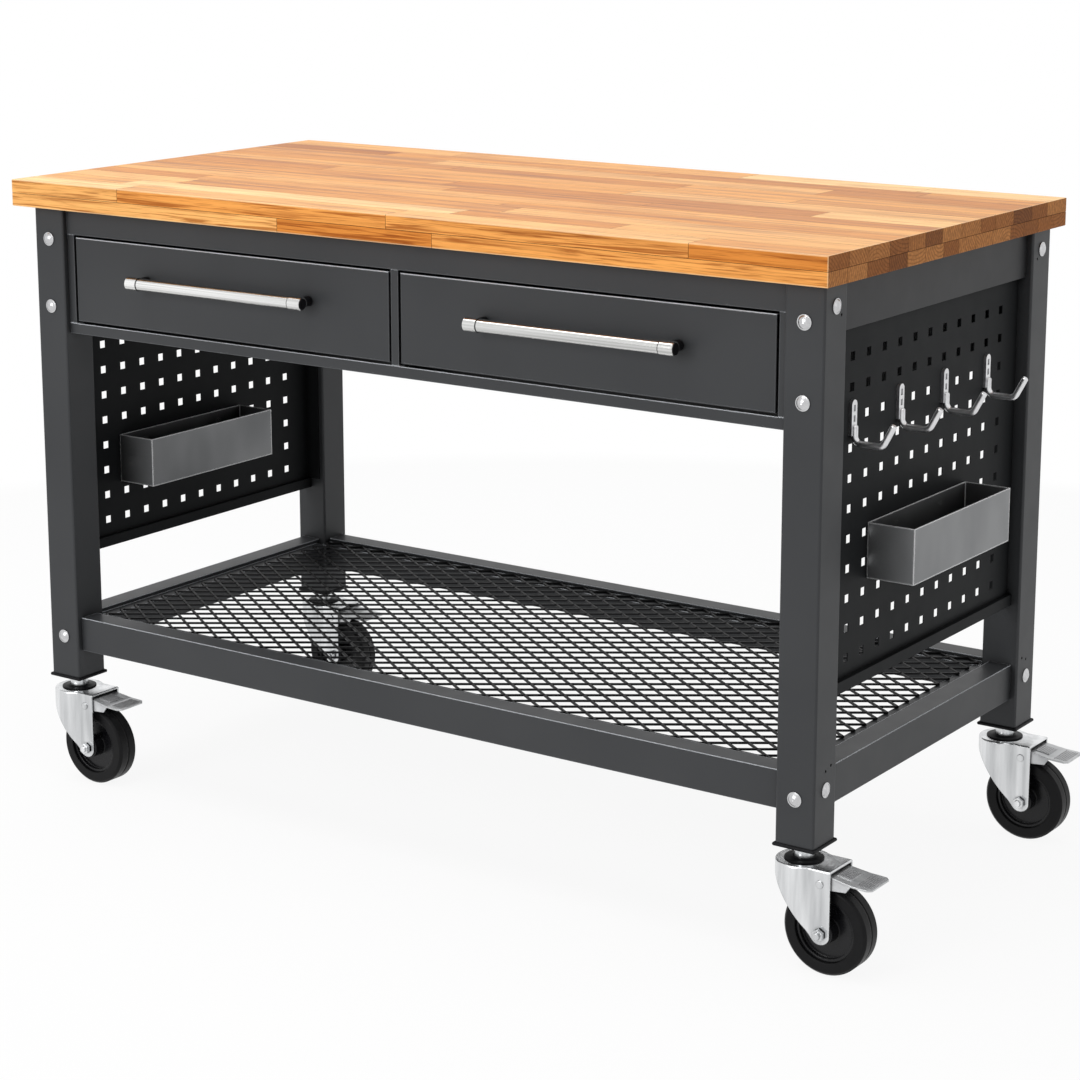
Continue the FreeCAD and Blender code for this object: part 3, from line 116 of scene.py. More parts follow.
# Edges and corners in the materials, told by cosine, by rise and by openness to the air; rises pick painted
# highlights, openness sets painted shade in corners
EDGE_SAMPLES = 4
EDGE_COSINES = (0.99, 0.92)
UPPER_EDGE_RISES = ((0.12, 0.0), (0.35, 1.0), (0.85, 1.0), (0.97, 0.0))
CORNER_SAMPLES = 6
CORNER_OPENNESS = (0.3, 0.8)

# Powder coat, metals and moulded pieces, with scales of noise per metre and sizes in metres
CLOUD_DETAIL = 3.0
DARK_PLACE, LIGHT_PLACE = 0.3, 0.7
COAT_CLOUDS = 4.0
COAT_GLOSS = 35.0
COAT_STRAY = (0.05, 0.05)
COAT_PEEL = 900.0
COAT_PEEL_STRENGTH = 0.25
COAT_PEEL_HEIGHT = 0.0001
COAT_EDGE_RADIUS = 0.0012
# painted shade: the coat's colour darkens in corners and gaps, where shade falls
COAT_CORNER_REACH = 0.018
COAT_CORNER_SHADE = 0.10
# coat edges lightened, part wear and part painted highlight; edges that face up get a stronger painted
# highlight
COAT_WORN_HIGHLIGHT_WIDTH = 0.0018
COAT_WORN_HIGHLIGHT_GAIN = 3.0
COAT_HIGHLIGHT_RIM_WIDTH = 0.0019
COAT_HIGHLIGHT_RIM_GAIN = 18.0
METAL_LINE_STRENGTH = 0.03
METAL_LINE_HEIGHT = 0.00005
# painted highlight along a metal's edges, when asked for
METAL_HIGHLIGHT_RIM_WIDTH = 0.0024
METAL_STRAY = (0.04, 0.04)
MOULD_CLOUDS = 60.0
MOULD_CLOUD_GAIN = 1.5
MOULD_LIGHT_PLACE = 0.75
MOULD_STRAY = (0.06, 0.08)
MOULD_GRAIN = 1200.0
MOULD_GRAIN_STRENGTH = 0.2
MOULD_GRAIN_HEIGHT = 0.0001
MOULD_EDGE_RADIUS = 0.0025

# Wood: tones of the staves, then figure, lines and pores along the grain, rings and specks across it
TOP_TONES = (
    (0.0, (0.46, 0.165, 0.030)),
    (0.3, (0.62, 0.250, 0.052)),
    (0.6, (0.75, 0.350, 0.092)),
    (0.85, (0.86, 0.470, 0.165)),
    (1.0, (0.93, 0.590, 0.260)),
)
EDGE_TINT = (1.05, 0.84, 0.60)
END_TONES = (
    (0.1, (0.20, 0.070, 0.020)),
    (0.5, (0.40, 0.150, 0.042)),
    (0.9, (0.58, 0.250, 0.080)),
)
FIGURE_STRETCH = (2.6, 55.0, 55.0)
FIGURE_DETAIL = 6.0
FIGURE_BEND = 0.6
FIGURE_SHADES = ((0.28, (0.54, 0.42, 0.32)), (0.46, (0.94, 0.91, 0.88)), (0.72, (1.13, 1.16, 1.20)))
FIGURE_SHARE = 0.9
LINE_STRETCH = (7.0, 230.0, 230.0)
LINE_DETAIL = 5.0
LINE_BEND = 0.9
LINE_SHADES = ((0.36, (0.52, 0.38, 0.27)), (0.50, (1.0, 1.0, 1.0)), (0.70, (1.08, 1.10, 1.10)))
PORE_STRETCH = (22.0, 700.0, 700.0)
PORE_SHADES = ((0.30, (0.58, 0.46, 0.36)), (0.44, (1.0, 1.0, 1.0)))
PORE_SHARE = 0.75
PORE_STRENGTH = 0.2
GROWTH_RINGS = {"Scale": 70.0, "Distortion": 1.5, "Detail": 2.0, "Detail Scale": 1.5}
GROWTH_SHADES = ((0.0, (0.62, 0.56, 0.50)), (0.55, (1.06, 1.06, 1.06)))
GROWTH_SHARE = 0.7
SPECK_SCALE = 260.0
SPECK_SHADES = ((0.35, (0.70, 0.66, 0.62)), (0.65, (1.10, 1.10, 1.10)))
SPECK_SHARE = 0.8
SPECK_STRENGTH = 0.3
# paler chamfers along the slab's edges, part wear and part painted highlight
WORN_HIGHLIT_WOOD = (1.0, 0.74, 0.44)
WORN_HIGHLIT_WOOD_SHARE = 0.45
WOOD_RELIEF = 0.0002
WOOD_STRAY = (0.08, 0.08)


def node(tree, kind, sockets=None, **settings):
    """A shader node with its settings, its values and its links from other sockets."""
    made = tree.nodes.new(kind)
    for name, value in settings.items():
        setattr(made, name, value)
    for name, value in (sockets or {}).items():
        if isinstance(value, bpy.types.NodeSocket):
            tree.links.new(value, made.inputs[name])
        else:
            made.inputs[name].default_value = value
    return made


def ramp(tree, factor, stops):
    """Colours along a factor, from pairs of place and colour."""
    made = node(tree, "ShaderNodeValToRGB", {"Fac": factor})
    elements = made.color_ramp.elements
    while len(elements) < len(stops):
        elements.new(0.5)
    for element, (place, colour) in zip(elements, stops):
        element.position = place
        element.color = (*colour, 1.0)
    return made.outputs["Color"]


def mixed(tree, factor, first, second, blend="MIX"):
    """Two colours mixed by a factor."""
    made = node(tree, "ShaderNodeMix", data_type="RGBA", blend_type=blend)
    for name, value in (("Factor_Float", factor), ("A_Color", first), ("B_Color", second)):
        socket = next(each for each in made.inputs if each.identifier == name)
        if isinstance(value, bpy.types.NodeSocket):
            tree.links.new(value, socket)
        else:
            socket.default_value = value if name == "Factor_Float" else (*value, 1.0)
    return next(each for each in made.outputs if each.identifier == "Result_Color")


def noise(tree, vector, scale, detail=2.0, stretch=(1, 1, 1), bent=0.0):
    """Noise over a vector that is stretched first, its forms bent by a share of their size."""
    drawn = node(tree, "ShaderNodeMapping", {"Vector": vector, "Scale": stretch}).outputs[0]
    values = {"Vector": drawn, "Scale": scale, "Detail": detail, "Distortion": bent}
    return node(tree, "ShaderNodeTexNoise", values).outputs["Fac"]


def spread(tree, factor, low, high):
    """A factor from 0 to 1 spread between two values."""
    limits = {"Value": factor, "To Min": low, "To Max": high}
    return node(tree, "ShaderNodeMapRange", limits).outputs["Result"]


def calculated(tree, operation, first, second):
    """One number worked out from two."""
    return node(tree, "ShaderNodeMath", {0: first, 1: second}, operation=operation).outputs[0]


def new_material(name):
    """A material with its tree, its shader and places in its piece's own frame."""
    material = bpy.data.materials.new(name)
    material.use_nodes = True
    tree = material.node_tree
    place = node(tree, "ShaderNodeTexCoord").outputs["Object"]
    return material, tree, tree.nodes["Principled BSDF"], place


def vary_roughness(tree, shader, factor, roughness, stray):
    """Roughness that strays to either side of its own value."""
    below, above = stray
    varied = spread(tree, factor, roughness - below, roughness + above)
    tree.links.new(varied, shader.inputs["Roughness"])


def rounded(tree, radius):
    """Normals of a form whose edges are rounded by a small radius."""
    return node(tree, "ShaderNodeBevel", {"Radius": radius}, samples=EDGE_SAMPLES).outputs["Normal"]


def roughen(tree, shader, height, strength, distance, edge_radius=0.0):
    """Bump from a height, over edges that are rounded by a small radius."""
    bump = node(tree, "ShaderNodeBump", {"Height": height, "Strength": strength, "Distance": distance})
    if edge_radius:
        tree.links.new(rounded(tree, edge_radius), bump.inputs["Normal"])
    tree.links.new(bump.outputs["Normal"], shader.inputs["Normal"])


def near_edge(tree, width):
    """1 along the edges of a form, 0 on its faces."""
    facing = node(tree, "ShaderNodeNewGeometry").outputs["Normal"]
    normals = {0: rounded(tree, width), 1: facing}
    along = node(tree, "ShaderNodeVectorMath", normals, operation="DOT_PRODUCT").outputs["Value"]
    limits = {"Value": along, "From Min": EDGE_COSINES[0], "From Max": EDGE_COSINES[1]}
    return node(tree, "ShaderNodeMapRange", limits).outputs["Result"]


def highlit_upper_edge(tree, width):
    """1 along edges and roundings that face out and up, where a highlight is painted, 0 on faces."""
    rise = node(tree, "ShaderNodeSeparateXYZ", {0: rounded(tree, width)}).outputs["Z"]
    return ramp(tree, rise, [(place, (level, level, level)) for place, level in UPPER_EDGE_RISES])


def painted_corner_shade(tree, reach, darkest):
    """Painted shade: 1 on open faces, falling to a darkest value deep in corners and gaps, where shade
    falls.
    """
    around = node(tree, "ShaderNodeAmbientOcclusion", {"Distance": reach}, samples=CORNER_SAMPLES)
    low, high = CORNER_OPENNESS
    limits = {"Value": around.outputs["AO"], "From Min": low, "From Max": high, "To Min": darkest}
    return node(tree, "ShaderNodeMapRange", limits).outputs["Result"]


def powder_coat(name, dark, light, roughness=0.42, specular=0.25, worn_and_highlit=True):
    """Satin powder coat: faint clouds, painted shade in corners and a fine peel, with or without edges
    lightened by wear and painted highlights.
    """
    material, tree, shader, place = new_material(name)
    clouds = noise(tree, place, COAT_CLOUDS, CLOUD_DETAIL)
    colour = ramp(tree, clouds, [(DARK_PLACE, dark), (LIGHT_PLACE, light)])
    # painted shade: the colour is darkened in corners and gaps
    colour = mixed(tree, 1.0, colour, painted_corner_shade(tree, COAT_CORNER_REACH, COAT_CORNER_SHADE), "MULTIPLY")
    # edges lightened partly as wear and partly as a painted highlight, and edges facing up as a painted
    # highlight
    if worn_and_highlit:
        for edge, gain in (
            (near_edge(tree, COAT_WORN_HIGHLIGHT_WIDTH), COAT_WORN_HIGHLIGHT_GAIN),
            (highlit_upper_edge(tree, COAT_HIGHLIGHT_RIM_WIDTH), COAT_HIGHLIGHT_RIM_GAIN),
        ):
            colour = mixed(tree, edge, colour, tuple(channel * gain for channel in light))
    tree.links.new(colour, shader.inputs["Base Color"])
    vary_roughness(tree, shader, noise(tree, place, COAT_GLOSS), roughness, COAT_STRAY)
    shader.inputs["Specular IOR Level"].default_value = specular
    peel = noise(tree, place, COAT_PEEL)
    roughen(tree, shader, peel, COAT_PEEL_STRENGTH, COAT_PEEL_HEIGHT, COAT_EDGE_RADIUS)
    return material


def metal(name, dark, light, roughness, line_scale, stretch=(1, 1, 1), edge_radius=0.0, highlight_rim=None,
          metallic=1.0, corner_shade=0.25, corner_reach=0.006):
    """Metal with lines along its least stretched axis, painted shade in corners and, if asked for, a painted
    highlight along its edges.
    """
    material, tree, shader, place = new_material(name)
    lines = noise(tree, place, line_scale, CLOUD_DETAIL, stretch)
    colour = ramp(tree, lines, [(DARK_PLACE, dark), (LIGHT_PLACE, light)])
    # painted shade: the colour is darkened in corners and gaps
    colour = mixed(tree, 1.0, colour, painted_corner_shade(tree, corner_reach, corner_shade), "MULTIPLY")
    # painted highlight: a bright colour along the edges
    if highlight_rim:
        colour = mixed(tree, near_edge(tree, METAL_HIGHLIGHT_RIM_WIDTH), colour, highlight_rim)
    tree.links.new(colour, shader.inputs["Base Color"])
    shader.inputs["Metallic"].default_value = metallic
    vary_roughness(tree, shader, lines, roughness, METAL_STRAY)
    roughen(tree, shader, lines, METAL_LINE_STRENGTH, METAL_LINE_HEIGHT, edge_radius)
    return material


def moulded(name, colour, roughness, specular=0.12):
    """Moulded plastic or rubber with a fine grain."""
    material, tree, shader, place = new_material(name)
    clouds = noise(tree, place, MOULD_CLOUDS, CLOUD_DETAIL)
    lighter = tuple(channel * MOULD_CLOUD_GAIN for channel in colour)
    clouded = ramp(tree, clouds, [(DARK_PLACE, colour), (MOULD_LIGHT_PLACE, lighter)])
    tree.links.new(clouded, shader.inputs["Base Color"])
    vary_roughness(tree, shader, clouds, roughness, MOULD_STRAY)
    shader.inputs["Specular IOR Level"].default_value = specular
    grain = noise(tree, place, MOULD_GRAIN)
    roughen(tree, shader, grain, MOULD_GRAIN_STRENGTH, MOULD_GRAIN_HEIGHT, MOULD_EDGE_RADIUS)
    return material


def kept(tree, name, output="Fac"):
    """What each face of a mesh keeps under a name."""
    return node(tree, "ShaderNodeAttribute", attribute_name=name).outputs[output]


def moved(tree, place, name):
    """A place, moved by the vector that its face keeps under a name."""
    vectors = {0: place, 1: kept(tree, name, "Vector")}
    return node(tree, "ShaderNodeVectorMath", vectors, operation="ADD").outputs[0]


def shaded(tree, colour, layers):
    """A colour with layers of shades over it, each from a factor, its shades and their share."""
    for factor, shades, share in layers:
        colour = mixed(tree, share, colour, ramp(tree, factor, shades), "MULTIPLY")
    return colour


def long_grain(name, tones, specular, roughness, line_share):
    """Oiled hardwood along its staves: a tone for each, broad figure, fine lines, pores and pale chamfers of
    wear and painted highlight.
    """
    material, tree, shader, place = new_material(name)
    inside = moved(tree, place, "shift")
    figure = noise(tree, inside, 1.0, FIGURE_DETAIL, FIGURE_STRETCH, FIGURE_BEND)
    lines = noise(tree, inside, 1.0, LINE_DETAIL, LINE_STRETCH, LINE_BEND)
    pores = noise(tree, inside, 1.0, stretch=PORE_STRETCH)
    colour = shaded(tree, ramp(tree, kept(tree, "tone"), tones), (
        (figure, FIGURE_SHADES, FIGURE_SHARE),
        (lines, LINE_SHADES, line_share),
        (pores, PORE_SHADES, PORE_SHARE),
    ))
    # the chamfers are paler, part wear and part painted highlight
    pale = calculated(tree, "MULTIPLY", kept(tree, "worn_and_highlit"), WORN_HIGHLIT_WOOD_SHARE)
    colour = mixed(tree, pale, colour, WORN_HIGHLIT_WOOD)
    tree.links.new(colour, shader.inputs["Base Color"])
    shader.inputs["Specular IOR Level"].default_value = specular
    vary_roughness(tree, shader, figure, roughness, WOOD_STRAY)
    roughen(tree, shader, pores, PORE_STRENGTH, WOOD_RELIEF)
    return material


def end_grain(name, specular, roughness):
    """Sawn ends of the staves: a darker tone for each, arcs of growth rings round its heart, and specks."""
    material, tree, shader, place = new_material(name)
    rings = {"Vector": moved(tree, place, "heart"), **GROWTH_RINGS}
    arcs = node(tree, "ShaderNodeTexWave", rings, wave_type="RINGS", rings_direction="X").outputs["Fac"]
    specks = noise(tree, moved(tree, place, "shift"), SPECK_SCALE, CLOUD_DETAIL)
    colour = shaded(tree, ramp(tree, kept(tree, "tone"), END_TONES), (
        (arcs, GROWTH_SHADES, GROWTH_SHARE),
        (specks, SPECK_SHADES, SPECK_SHARE),
    ))
    tree.links.new(colour, shader.inputs["Base Color"])
    shader.inputs["Specular IOR Level"].default_value = specular
    vary_roughness(tree, shader, specks, roughness, WOOD_STRAY)
    roughen(tree, shader, specks, SPECK_STRENGTH, WOOD_RELIEF)
    return material


def mesh_piece(name, body, materials, slot, build, *details):
    """A new piece made by a function that fills a bmesh."""
    shape = bmesh.new()
    build(shape, *details)
    data = bpy.data.meshes.new(name)
    shape.to_mesh(data)
    shape.free()
    piece = bpy.data.objects.new(name, data)
    bpy.context.scene.collection.objects.link(piece)
    for material in materials:
        data.materials.append(material)
    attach(piece, body)
    return piece


def stave_cuts(rng, low, high, sizes, first=None):
    """Places along a row where one stave ends and the next begins."""
    cuts = [low]
    step = first or rng.uniform(*sizes)
    while cuts[-1] + step < high - sizes[0] * LAST_STAVE_SHARE:
        cuts.append(cuts[-1] + step)
        step = rng.uniform(*sizes)
    return cuts + [high]


def stave_look(rng, middle):
    """A stave's tone, a shift of its grain, and the way from its tree's heart."""
    tone = min(1.0, max(0.0, rng.gauss(STAVE_TONE, STAVE_TONE_SPREAD)))
    shift = Vector(rng.uniform(-STAVE_SHIFT, STAVE_SHIFT) for _ in range(3))
    turn = rng.uniform(0, 2 * math.pi)
    reach = rng.uniform(*STAVE_HEART)
    heart = -middle - reach * Vector((0, math.cos(turn), math.sin(turn)))
    return tone, shift, heart


def glued(corner, inward, slab):
    """A stave's corner, drawn in by half a joint except on the slab's outside."""
    return [
        value if any(abs(value - side[axis]) < SAME_PLACE for side in slab)
        else value + inward * STAVE_JOINT / 2
        for axis, value in enumerate(corner)
    ]


def shared_sides(element, slab):
    """How many of the slab's outer sides hold the whole of an edge or a face."""
    return sum(
        all(abs(vertex.co[axis] - side[axis]) < SAME_PLACE for vertex in element.verts)
        for axis in range(3)
        for side in slab
    )


def add_box(shape, low, high):
    """Closed box between two corners, as its faces."""
    made = bmesh.ops.create_cube(shape, size=1.0)
    size = Vector(high) - Vector(low)
    middle = (Vector(high) + Vector(low)) / 2
    for vertex in made["verts"]:
        vertex.co = Vector(a * b for a, b in zip(vertex.co, size)) + middle
    return {face for vertex in made["verts"] for face in vertex.link_faces}


def build_worktop(shape):
    """Slab of staves, with a chamfer along the slab's own edges."""
    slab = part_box("worktop")
    low, high = slab
    rng = random.Random(STAVE_SEED)
    tone = shape.faces.layers.float.new("tone")
    worn_and_highlit = shape.faces.layers.float.new("worn_and_highlit")
    shift = shape.faces.layers.float_vector.new("shift")
    heart = shape.faces.layers.float_vector.new("heart")
    layer_height = (high.z - low.z) / STAVE_LAYERS
    for layer in range(STAVE_LAYERS):
        z = low.z + layer * layer_height
        rows = stave_cuts(rng, low.y, high.y, STAVE_WIDTHS)
        for front, rear in zip(rows, rows[1:]):
            middle = Vector((0, (front + rear) / 2, z + layer_height / 2))
            first = rng.uniform(*FIRST_STAVE_LENGTHS)
            ends = stave_cuts(rng, low.x, high.x, STAVE_LENGTHS, first)
            for left, right in zip(ends, ends[1:]):
                look = stave_look(rng, middle)
                near = glued((left, front, z), 1, slab)
                far = glued((right, rear, z + layer_height), -1, slab)
                for face in add_box(shape, near, far):
                    face[tone], face[shift], face[heart] = look
    chamfer_slab(shape, slab, worn_and_highlit)
    sort_faces(shape, slab, worn_and_highlit)


def chamfer_slab(shape, slab, worn_and_highlit):
    """Chamfers the slab's own edges and marks the chamfers to be paler, as wear and painted highlight."""
    made = bmesh.ops.bevel(
        shape,
        geom=[edge for edge in shape.edges if shared_sides(edge, slab) == 2],
        offset=TOP_CHAMFER,
        segments=CHAMFER_SEGMENTS,
        profile=CHAMFER_PROFILE,
        affect="EDGES",
    )
    for face in made["faces"]:
        face[worn_and_highlit] = 1.0


def sort_faces(shape, slab, worn_and_highlit):
    """Gives glue lines, sawn ends and oiled edges their materials."""
    for face in shape.faces:
        face.normal_update()
        if not face[worn_and_highlit] and not shared_sides(face, slab):
            face.material_index = GLUE_LINE
        elif abs(face.normal.x) > LEAST_END_FACING:
            face.material_index = SAWN_END
        elif face.normal.z < LEAST_TOP_FACING:
            face.material_index = OILED_EDGE


def add_ring(shape, middle, across, along):
    """Four corners round a middle."""
    return [shape.verts.new(middle + a * across + b * along) for a, b in RING_CORNERS]


def join_rings(shape, first, last):
    """Closes the solid between two rings of corners."""
    shape.faces.new(reversed(first))
    shape.faces.new(last)
    for side in range(len(first)):
        shape.faces.new((first[side - 1], first[side], last[side], last[side - 1]))


def build_shelf_mesh(shape):
    """Expanded metal: slit and drawn strands that meet in staggered diamonds."""
    low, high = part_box("shelf_mesh")
    middle = (low + high) / 2
    half_x = (high.x - low.x) / 2
    half_y = (high.y - low.y) / 2
    step_x = MESH_LONG_WAY / 2
    step_y = MESH_SHORT_WAY / 2
    z = high.z - MESH_STRAND_HEIGHT / 2
    columns = int(half_x / step_x)
    rows = int(half_y / step_y)
    for column in range(-columns, columns):
        for row in range(-rows, rows + 1):
            if (column + row) % 2:
                continue
            for turn in (-1, 1):
                if abs(row + turn) > rows:
                    continue
                start = Vector((middle.x + column * step_x, middle.y + row * step_y, z))
                end = start + Vector((step_x, turn * step_y, 0))
                add_strand(shape, start, end)


def add_strand(shape, start, end):
    """One strand of the expanded metal, a little longer than its diamond's side."""
    along = (end - start).normalized()
    side = Vector((-along.y, along.x, 0)) * MESH_STRAND_WIDTH / 2
    up = Vector((0, 0, MESH_STRAND_HEIGHT / 2))
    over = along * MESH_STRAND_OVERLAP
    join_rings(shape, add_ring(shape, start - over, side, up), add_ring(shape, end + over, side, up))


def build_pedal_tread(shape, place):
    """Ribs across the pad and the toe of a brake pedal."""
    low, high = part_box(f"caster_{place}_pedal")
    axis = Vector((high.x - PEDAL_TIP_REACH, (low.y + high.y) / 2, high.z))
    for first, last, half_length, count in PEDAL_TREADS:
        start, end = (axis + Vector((reach, 0, -drop)) for reach, drop in (first, last))
        for rib in range(count):
            add_rib(shape, start.lerp(end, (rib + 0.5) / count), half_length)


def add_rib(shape, middle, half_length):
    """One rib across Y, sunk a little into its pedal and narrower at its crest."""
    rings = [
        add_ring(shape, middle + Vector((0, 0, height)), Vector((width / 2, 0, 0)), Vector((0, half_run, 0)))
        for width, half_run, height in (
            (RIB_WIDTH, half_length, -RIB_SINK),
            (RIB_CREST_WIDTH, half_length - RIB_HEIGHT, RIB_HEIGHT),
        )
    ]
    join_rings(shape, *rings)


def make_looks():
    """The materials that the CAD nodes share."""
    charcoal = (0.038, 0.040, 0.043), (0.048, 0.050, 0.053)
    # charcoal darkened as painted shade, for the aprons under the worktop
    charcoal_in_painted_shade = (0.029, 0.030, 0.032), (0.036, 0.037, 0.039)
    black = (0.013, 0.014, 0.015), (0.018, 0.019, 0.020)
    dull_zinc = (0.50, 0.51, 0.52)
    return {
        "coat": powder_coat("charcoal_coat", *charcoal),
        "leg_coat": powder_coat("leg_coat", *charcoal, worn_and_highlit=False),
        # the aprons' coat is darker, as painted shade under the worktop's overhang
        "apron_coat_painted_shade": powder_coat("apron_coat_painted_shade", *charcoal_in_painted_shade, specular=0.18, worn_and_highlit=False),
        # the panels' coat is darker, as painted shade in their recess
        "panel_coat_painted_shade": powder_coat("panel_coat_painted_shade", *black, roughness=0.50, specular=0.06, worn_and_highlit=False),
        "chrome": metal(
            "chrome", (0.66, 0.66, 0.67), (0.74, 0.74, 0.75),
            roughness=0.32, line_scale=200.0, corner_shade=0.8,
        ),
        "bolt_steel": metal(
            "bolt_steel", (0.50, 0.50, 0.51), (0.60, 0.60, 0.61),
            roughness=0.22, line_scale=200.0, edge_radius=0.0006,
        ),
        "zinc": metal(
            "zinc_plate", dull_zinc, (0.86, 0.87, 0.88),
            roughness=0.22, line_scale=60.0, stretch=(1, 1, 0.1), edge_radius=0.0015,
        ),
        "runner_zinc": metal(
            "runner_zinc", dull_zinc, (0.72, 0.73, 0.74),
            roughness=0.24, line_scale=90.0, stretch=(1, 0.03, 1), edge_radius=0.0008,
        ),
        "pedal_zinc": metal(
            "pedal_zinc", dull_zinc, (0.68, 0.69, 0.70),
            roughness=0.30, line_scale=60.0, edge_radius=0.0015, metallic=0.5,
        ),
        "handle_steel": metal(
            "handle_steel", (0.46, 0.46, 0.45), (0.94, 0.94, 0.93),
            roughness=0.18, line_scale=240.0, stretch=(0.006, 1, 1),
        ),
        # painted shade deep inside the bins and a painted highlight along their edges
        "bin_steel": metal(
            "bin_steel", (0.14, 0.145, 0.15), (0.31, 0.315, 0.32),
            roughness=0.44, line_scale=7.0, stretch=(1, 1, 0.5), edge_radius=0.0008,
            highlight_rim=(0.95, 0.95, 0.96), metallic=0.5, corner_shade=0.06, corner_reach=0.09,
        ),
        "plastic": moulded("black_plastic", (0.006, 0.006, 0.007), roughness=0.42),
        "hub_plastic": moulded("hub_plastic", (0.004, 0.004, 0.005), roughness=0.26, specular=0.30),
        "rubber": moulded("black_rubber", (0.004, 0.004, 0.0045), roughness=0.40, specular=0.15),
    }


def paint(material, *names):
    """Gives CAD nodes their material."""
    for name in names:
        slots = NODES[name].data.materials
        slots.clear()
        slots.append(material)


def dress_frame(looks):
    """Legs, rails, drawer case, side panels and what is fixed to them."""
    paint(looks["coat"], "case_top_rail", "case_face_frame", "case_side_walls", "case_divider")
    paint(looks["coat"], *(f"shelf_rail_{side}" for side in RAIL_SIDES))
    paint(looks["leg_coat"], *(f"leg_{place}" for place in LEG_PLACES))
    paint(looks["apron_coat_painted_shade"], "apron_left", "apron_right", "apron_rear")
    paint(looks["panel_coat_painted_shade"], "peg_panel_left", "peg_panel_right")
    paint(looks["plastic"], "leg_end_caps", "caster_dust_rings")
    paint(looks["chrome"], "peg_hooks")
    paint(looks["bolt_steel"], "frame_bolts")
    paint(looks["zinc"], "worktop_screws", "caster_stems")
    paint(looks["runner_zinc"], "runner_outer_members")
    paint(looks["bin_steel"], "bin_left", "bin_right")


def dress_drawers(looks):
    """Fronts, boxes, handles and the moving members of the runners."""
    for side in DRAWER_SIDES:
        paint(looks["coat"], f"drawer_{side}_front", f"drawer_{side}_box")
        paint(looks["handle_steel"], f"drawer_{side}_handle_bar")
        paint(looks["plastic"], f"drawer_{side}_handle_posts")
        paint(looks["runner_zinc"], f"drawer_{side}_runner_inner", f"drawer_{side}_runner_middle")


def dress_casters(looks):
    """Forks, axles, pedals and wheels."""
    for place in LEG_PLACES:
        paint(looks["zinc"], f"caster_{place}_fork", f"caster_{place}_axle")
        paint(looks["pedal_zinc"], f"caster_{place}_pedal")
        paint(looks["hub_plastic"], f"caster_{place}_hub")
        paint(looks["rubber"], f"caster_{place}_tyre")


def add_worktop():
    """Glued staves that stand for the CAD slab, with a material for each kind of face."""
    edge_tones = [
        (place, tuple(channel * tint for channel, tint in zip(tone, EDGE_TINT)))
        for place, tone in TOP_TONES
    ]
    wood = (
        long_grain("oiled_top", TOP_TONES, specular=0.35, roughness=0.46, line_share=0.60),
        long_grain("oiled_edges", edge_tones, specular=0.10, roughness=0.55, line_share=1.0),
        end_grain("sawn_ends", specular=0.12, roughness=0.60),
        moulded("glue_line", (0.030, 0.012, 0.005), roughness=0.6),
    )
    top = mesh_piece("worktop_staves", "frame", wood, "butcher_block", build_worktop)
    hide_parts("worktop")


def add_pedal_treads():
    """Ribs that ride on the brake pedals."""
    tread = metal(
        "tread_steel", (0.30, 0.30, 0.31), (0.42, 0.42, 0.43),
        roughness=0.30, line_scale=90.0, metallic=0.5,
    )
    for place in LEG_PLACES:
        name = f"pedal_tread_{place}"
        mesh_piece(name, f"brake_{place}", (tread,), "zinc_steel", build_pedal_tread, place)


def add_shelf_mesh():
    """Fine strands that stand for the CAD plate of the shelf."""
    dark, light = (0.010, 0.010, 0.011), (0.016, 0.016, 0.017)
    coat = powder_coat("mesh_coat", dark, light, roughness=0.45, specular=0.10, worn_and_highlit=False)
    deck = mesh_piece("shelf_expanded_metal", "frame", (coat,), "black_mesh", build_shelf_mesh)
    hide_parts("shelf_mesh")


def seen_directly(tree):
    """1 for rays from the camera, and for those that gloss or glass sends on."""
    rays = node(tree, "ShaderNodeLightPath").outputs
    seen = rays["Is Camera Ray"]
    for kind in ("Is Glossy Ray", "Is Transmission Ray"):
        seen = calculated(tree, "MAXIMUM", seen, rays[kind])
    return seen


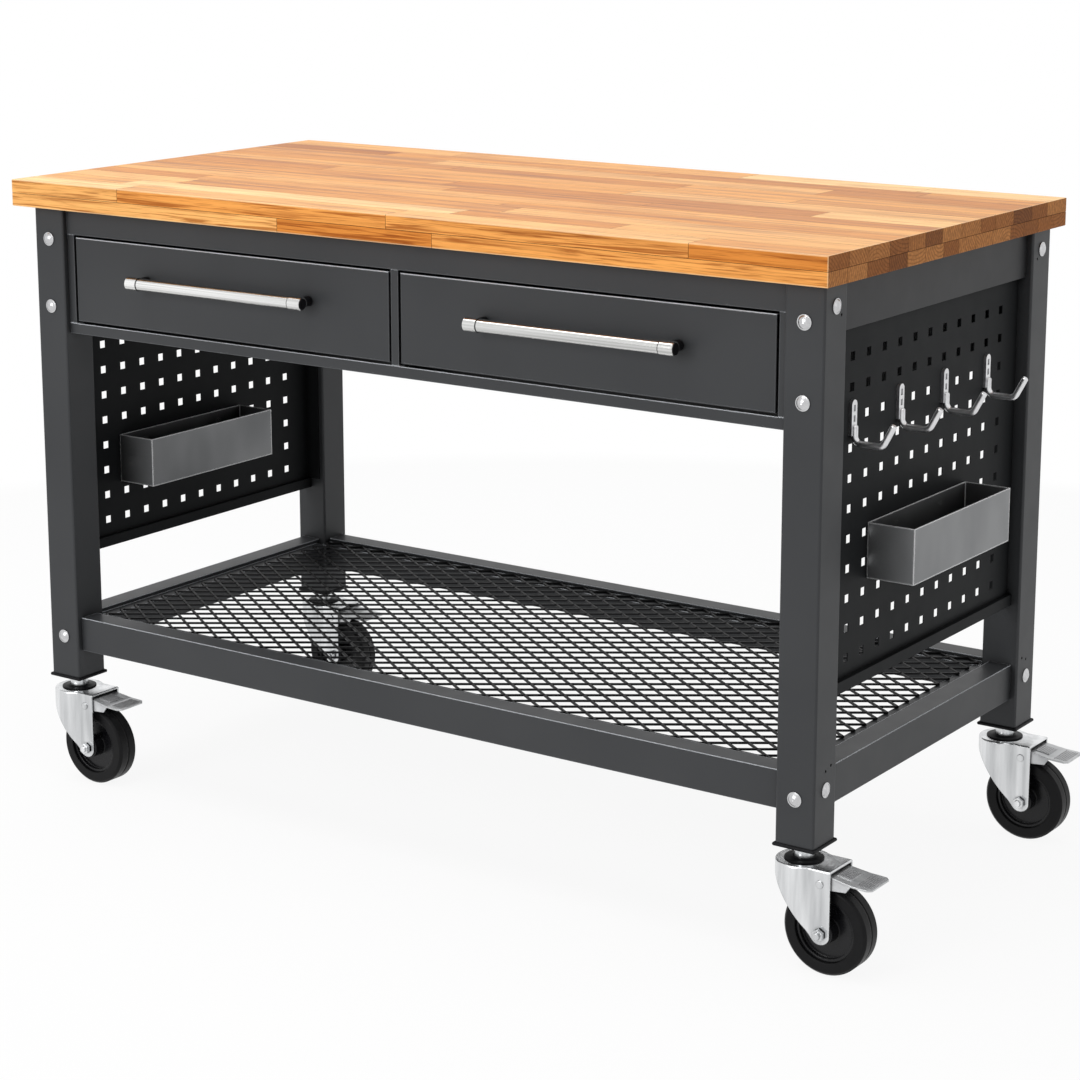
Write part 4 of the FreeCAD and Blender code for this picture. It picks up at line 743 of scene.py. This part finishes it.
def add_floor():
    """Pale floor that fades to plain white away from the bench."""
    bpy.ops.mesh.primitive_plane_add(size=FLOOR_SIZE, location=(0, 0, -FLOOR_DROP))
    floor = bpy.context.object
    floor.name = "floor"
    material, tree, shader, place = new_material("pale_floor")
    shader.inputs["Base Color"].default_value = (FLOOR_GREY, FLOOR_GREY, FLOOR_GREY, 1.0)
    shader.inputs["Roughness"].default_value = FLOOR_ROUGHNESS
    far = node(tree, "ShaderNodeVectorMath", {0: place}, operation="LENGTH").outputs["Value"]
    limits = {"Value": far, "From Min": FLOOR_FADE[0], "From Max": FLOOR_FADE[1]}
    fade = node(tree, "ShaderNodeMapRange", limits).outputs["Result"]
    white = node(tree, "ShaderNodeEmission", {"Color": WHITE, "Strength": 1.0})
    share = calculated(tree, "MAXIMUM", fade, FLOOR_LEAST_WHITE)
    share = calculated(tree, "MULTIPLY", share, seen_directly(tree))
    blend = node(tree, "ShaderNodeMixShader", {0: share, 1: shader.outputs[0], 2: white.outputs[0]})
    tree.links.new(blend.outputs[0], tree.nodes["Material Output"].inputs["Surface"])
    floor.data.materials.append(material)


def add_lamp(name, place, target, size, watts):
    """A rectangular lamp that faces a point."""
    lamp = bpy.data.lights.new(name, "AREA")
    lamp.shape = "RECTANGLE"
    lamp.size, lamp.size_y = size
    lamp.energy = watts
    holder = bpy.data.objects.new(name, lamp)
    bpy.context.scene.collection.objects.link(holder)
    holder.location = place
    holder.rotation_euler = (Vector(target) - Vector(place)).to_track_quat("-Z", "Y").to_euler()


def add_studio():
    """White surroundings, the lamps and the floor."""
    world = bpy.data.worlds.new("studio")
    bpy.context.scene.world = world
    world.use_nodes = True
    tree = world.node_tree
    background = tree.nodes["Background"]
    strength = spread(tree, seen_directly(tree), WORLD_LIGHT, 1.0)
    tree.links.new(strength, background.inputs["Strength"])
    background.inputs["Color"].default_value = WHITE
    for name, lamp in LAMPS.items():
        add_lamp(name, *lamp)
    add_floor()


def add_camera():
    """The photograph's own view."""
    data = bpy.data.cameras.new("camera")
    camera = bpy.data.objects.new("camera", data)
    bpy.context.scene.collection.objects.link(camera)
    camera.location = CAMERA_PLACE
    camera.rotation_euler = (math.radians(90 - CAMERA_PITCH), 0, math.radians(CAMERA_YAW))
    data.sensor_width = SENSOR_WIDTH
    data.lens = CAMERA_FOCAL_PIXELS / FRAME_PIXELS * SENSOR_WIDTH
    data.shift_x = 0.5 - CAMERA_AXIS_PIXELS[0] / FRAME_PIXELS
    data.shift_y = CAMERA_AXIS_PIXELS[1] / FRAME_PIXELS - 0.5
    bpy.context.scene.camera = camera


bpy.context.scene.view_settings.view_transform = "Standard"
looks = make_looks()
dress_frame(looks)
dress_drawers(looks)
dress_casters(looks)
add_worktop()
add_pedal_treads()
add_shelf_mesh()
add_studio()
add_camera()
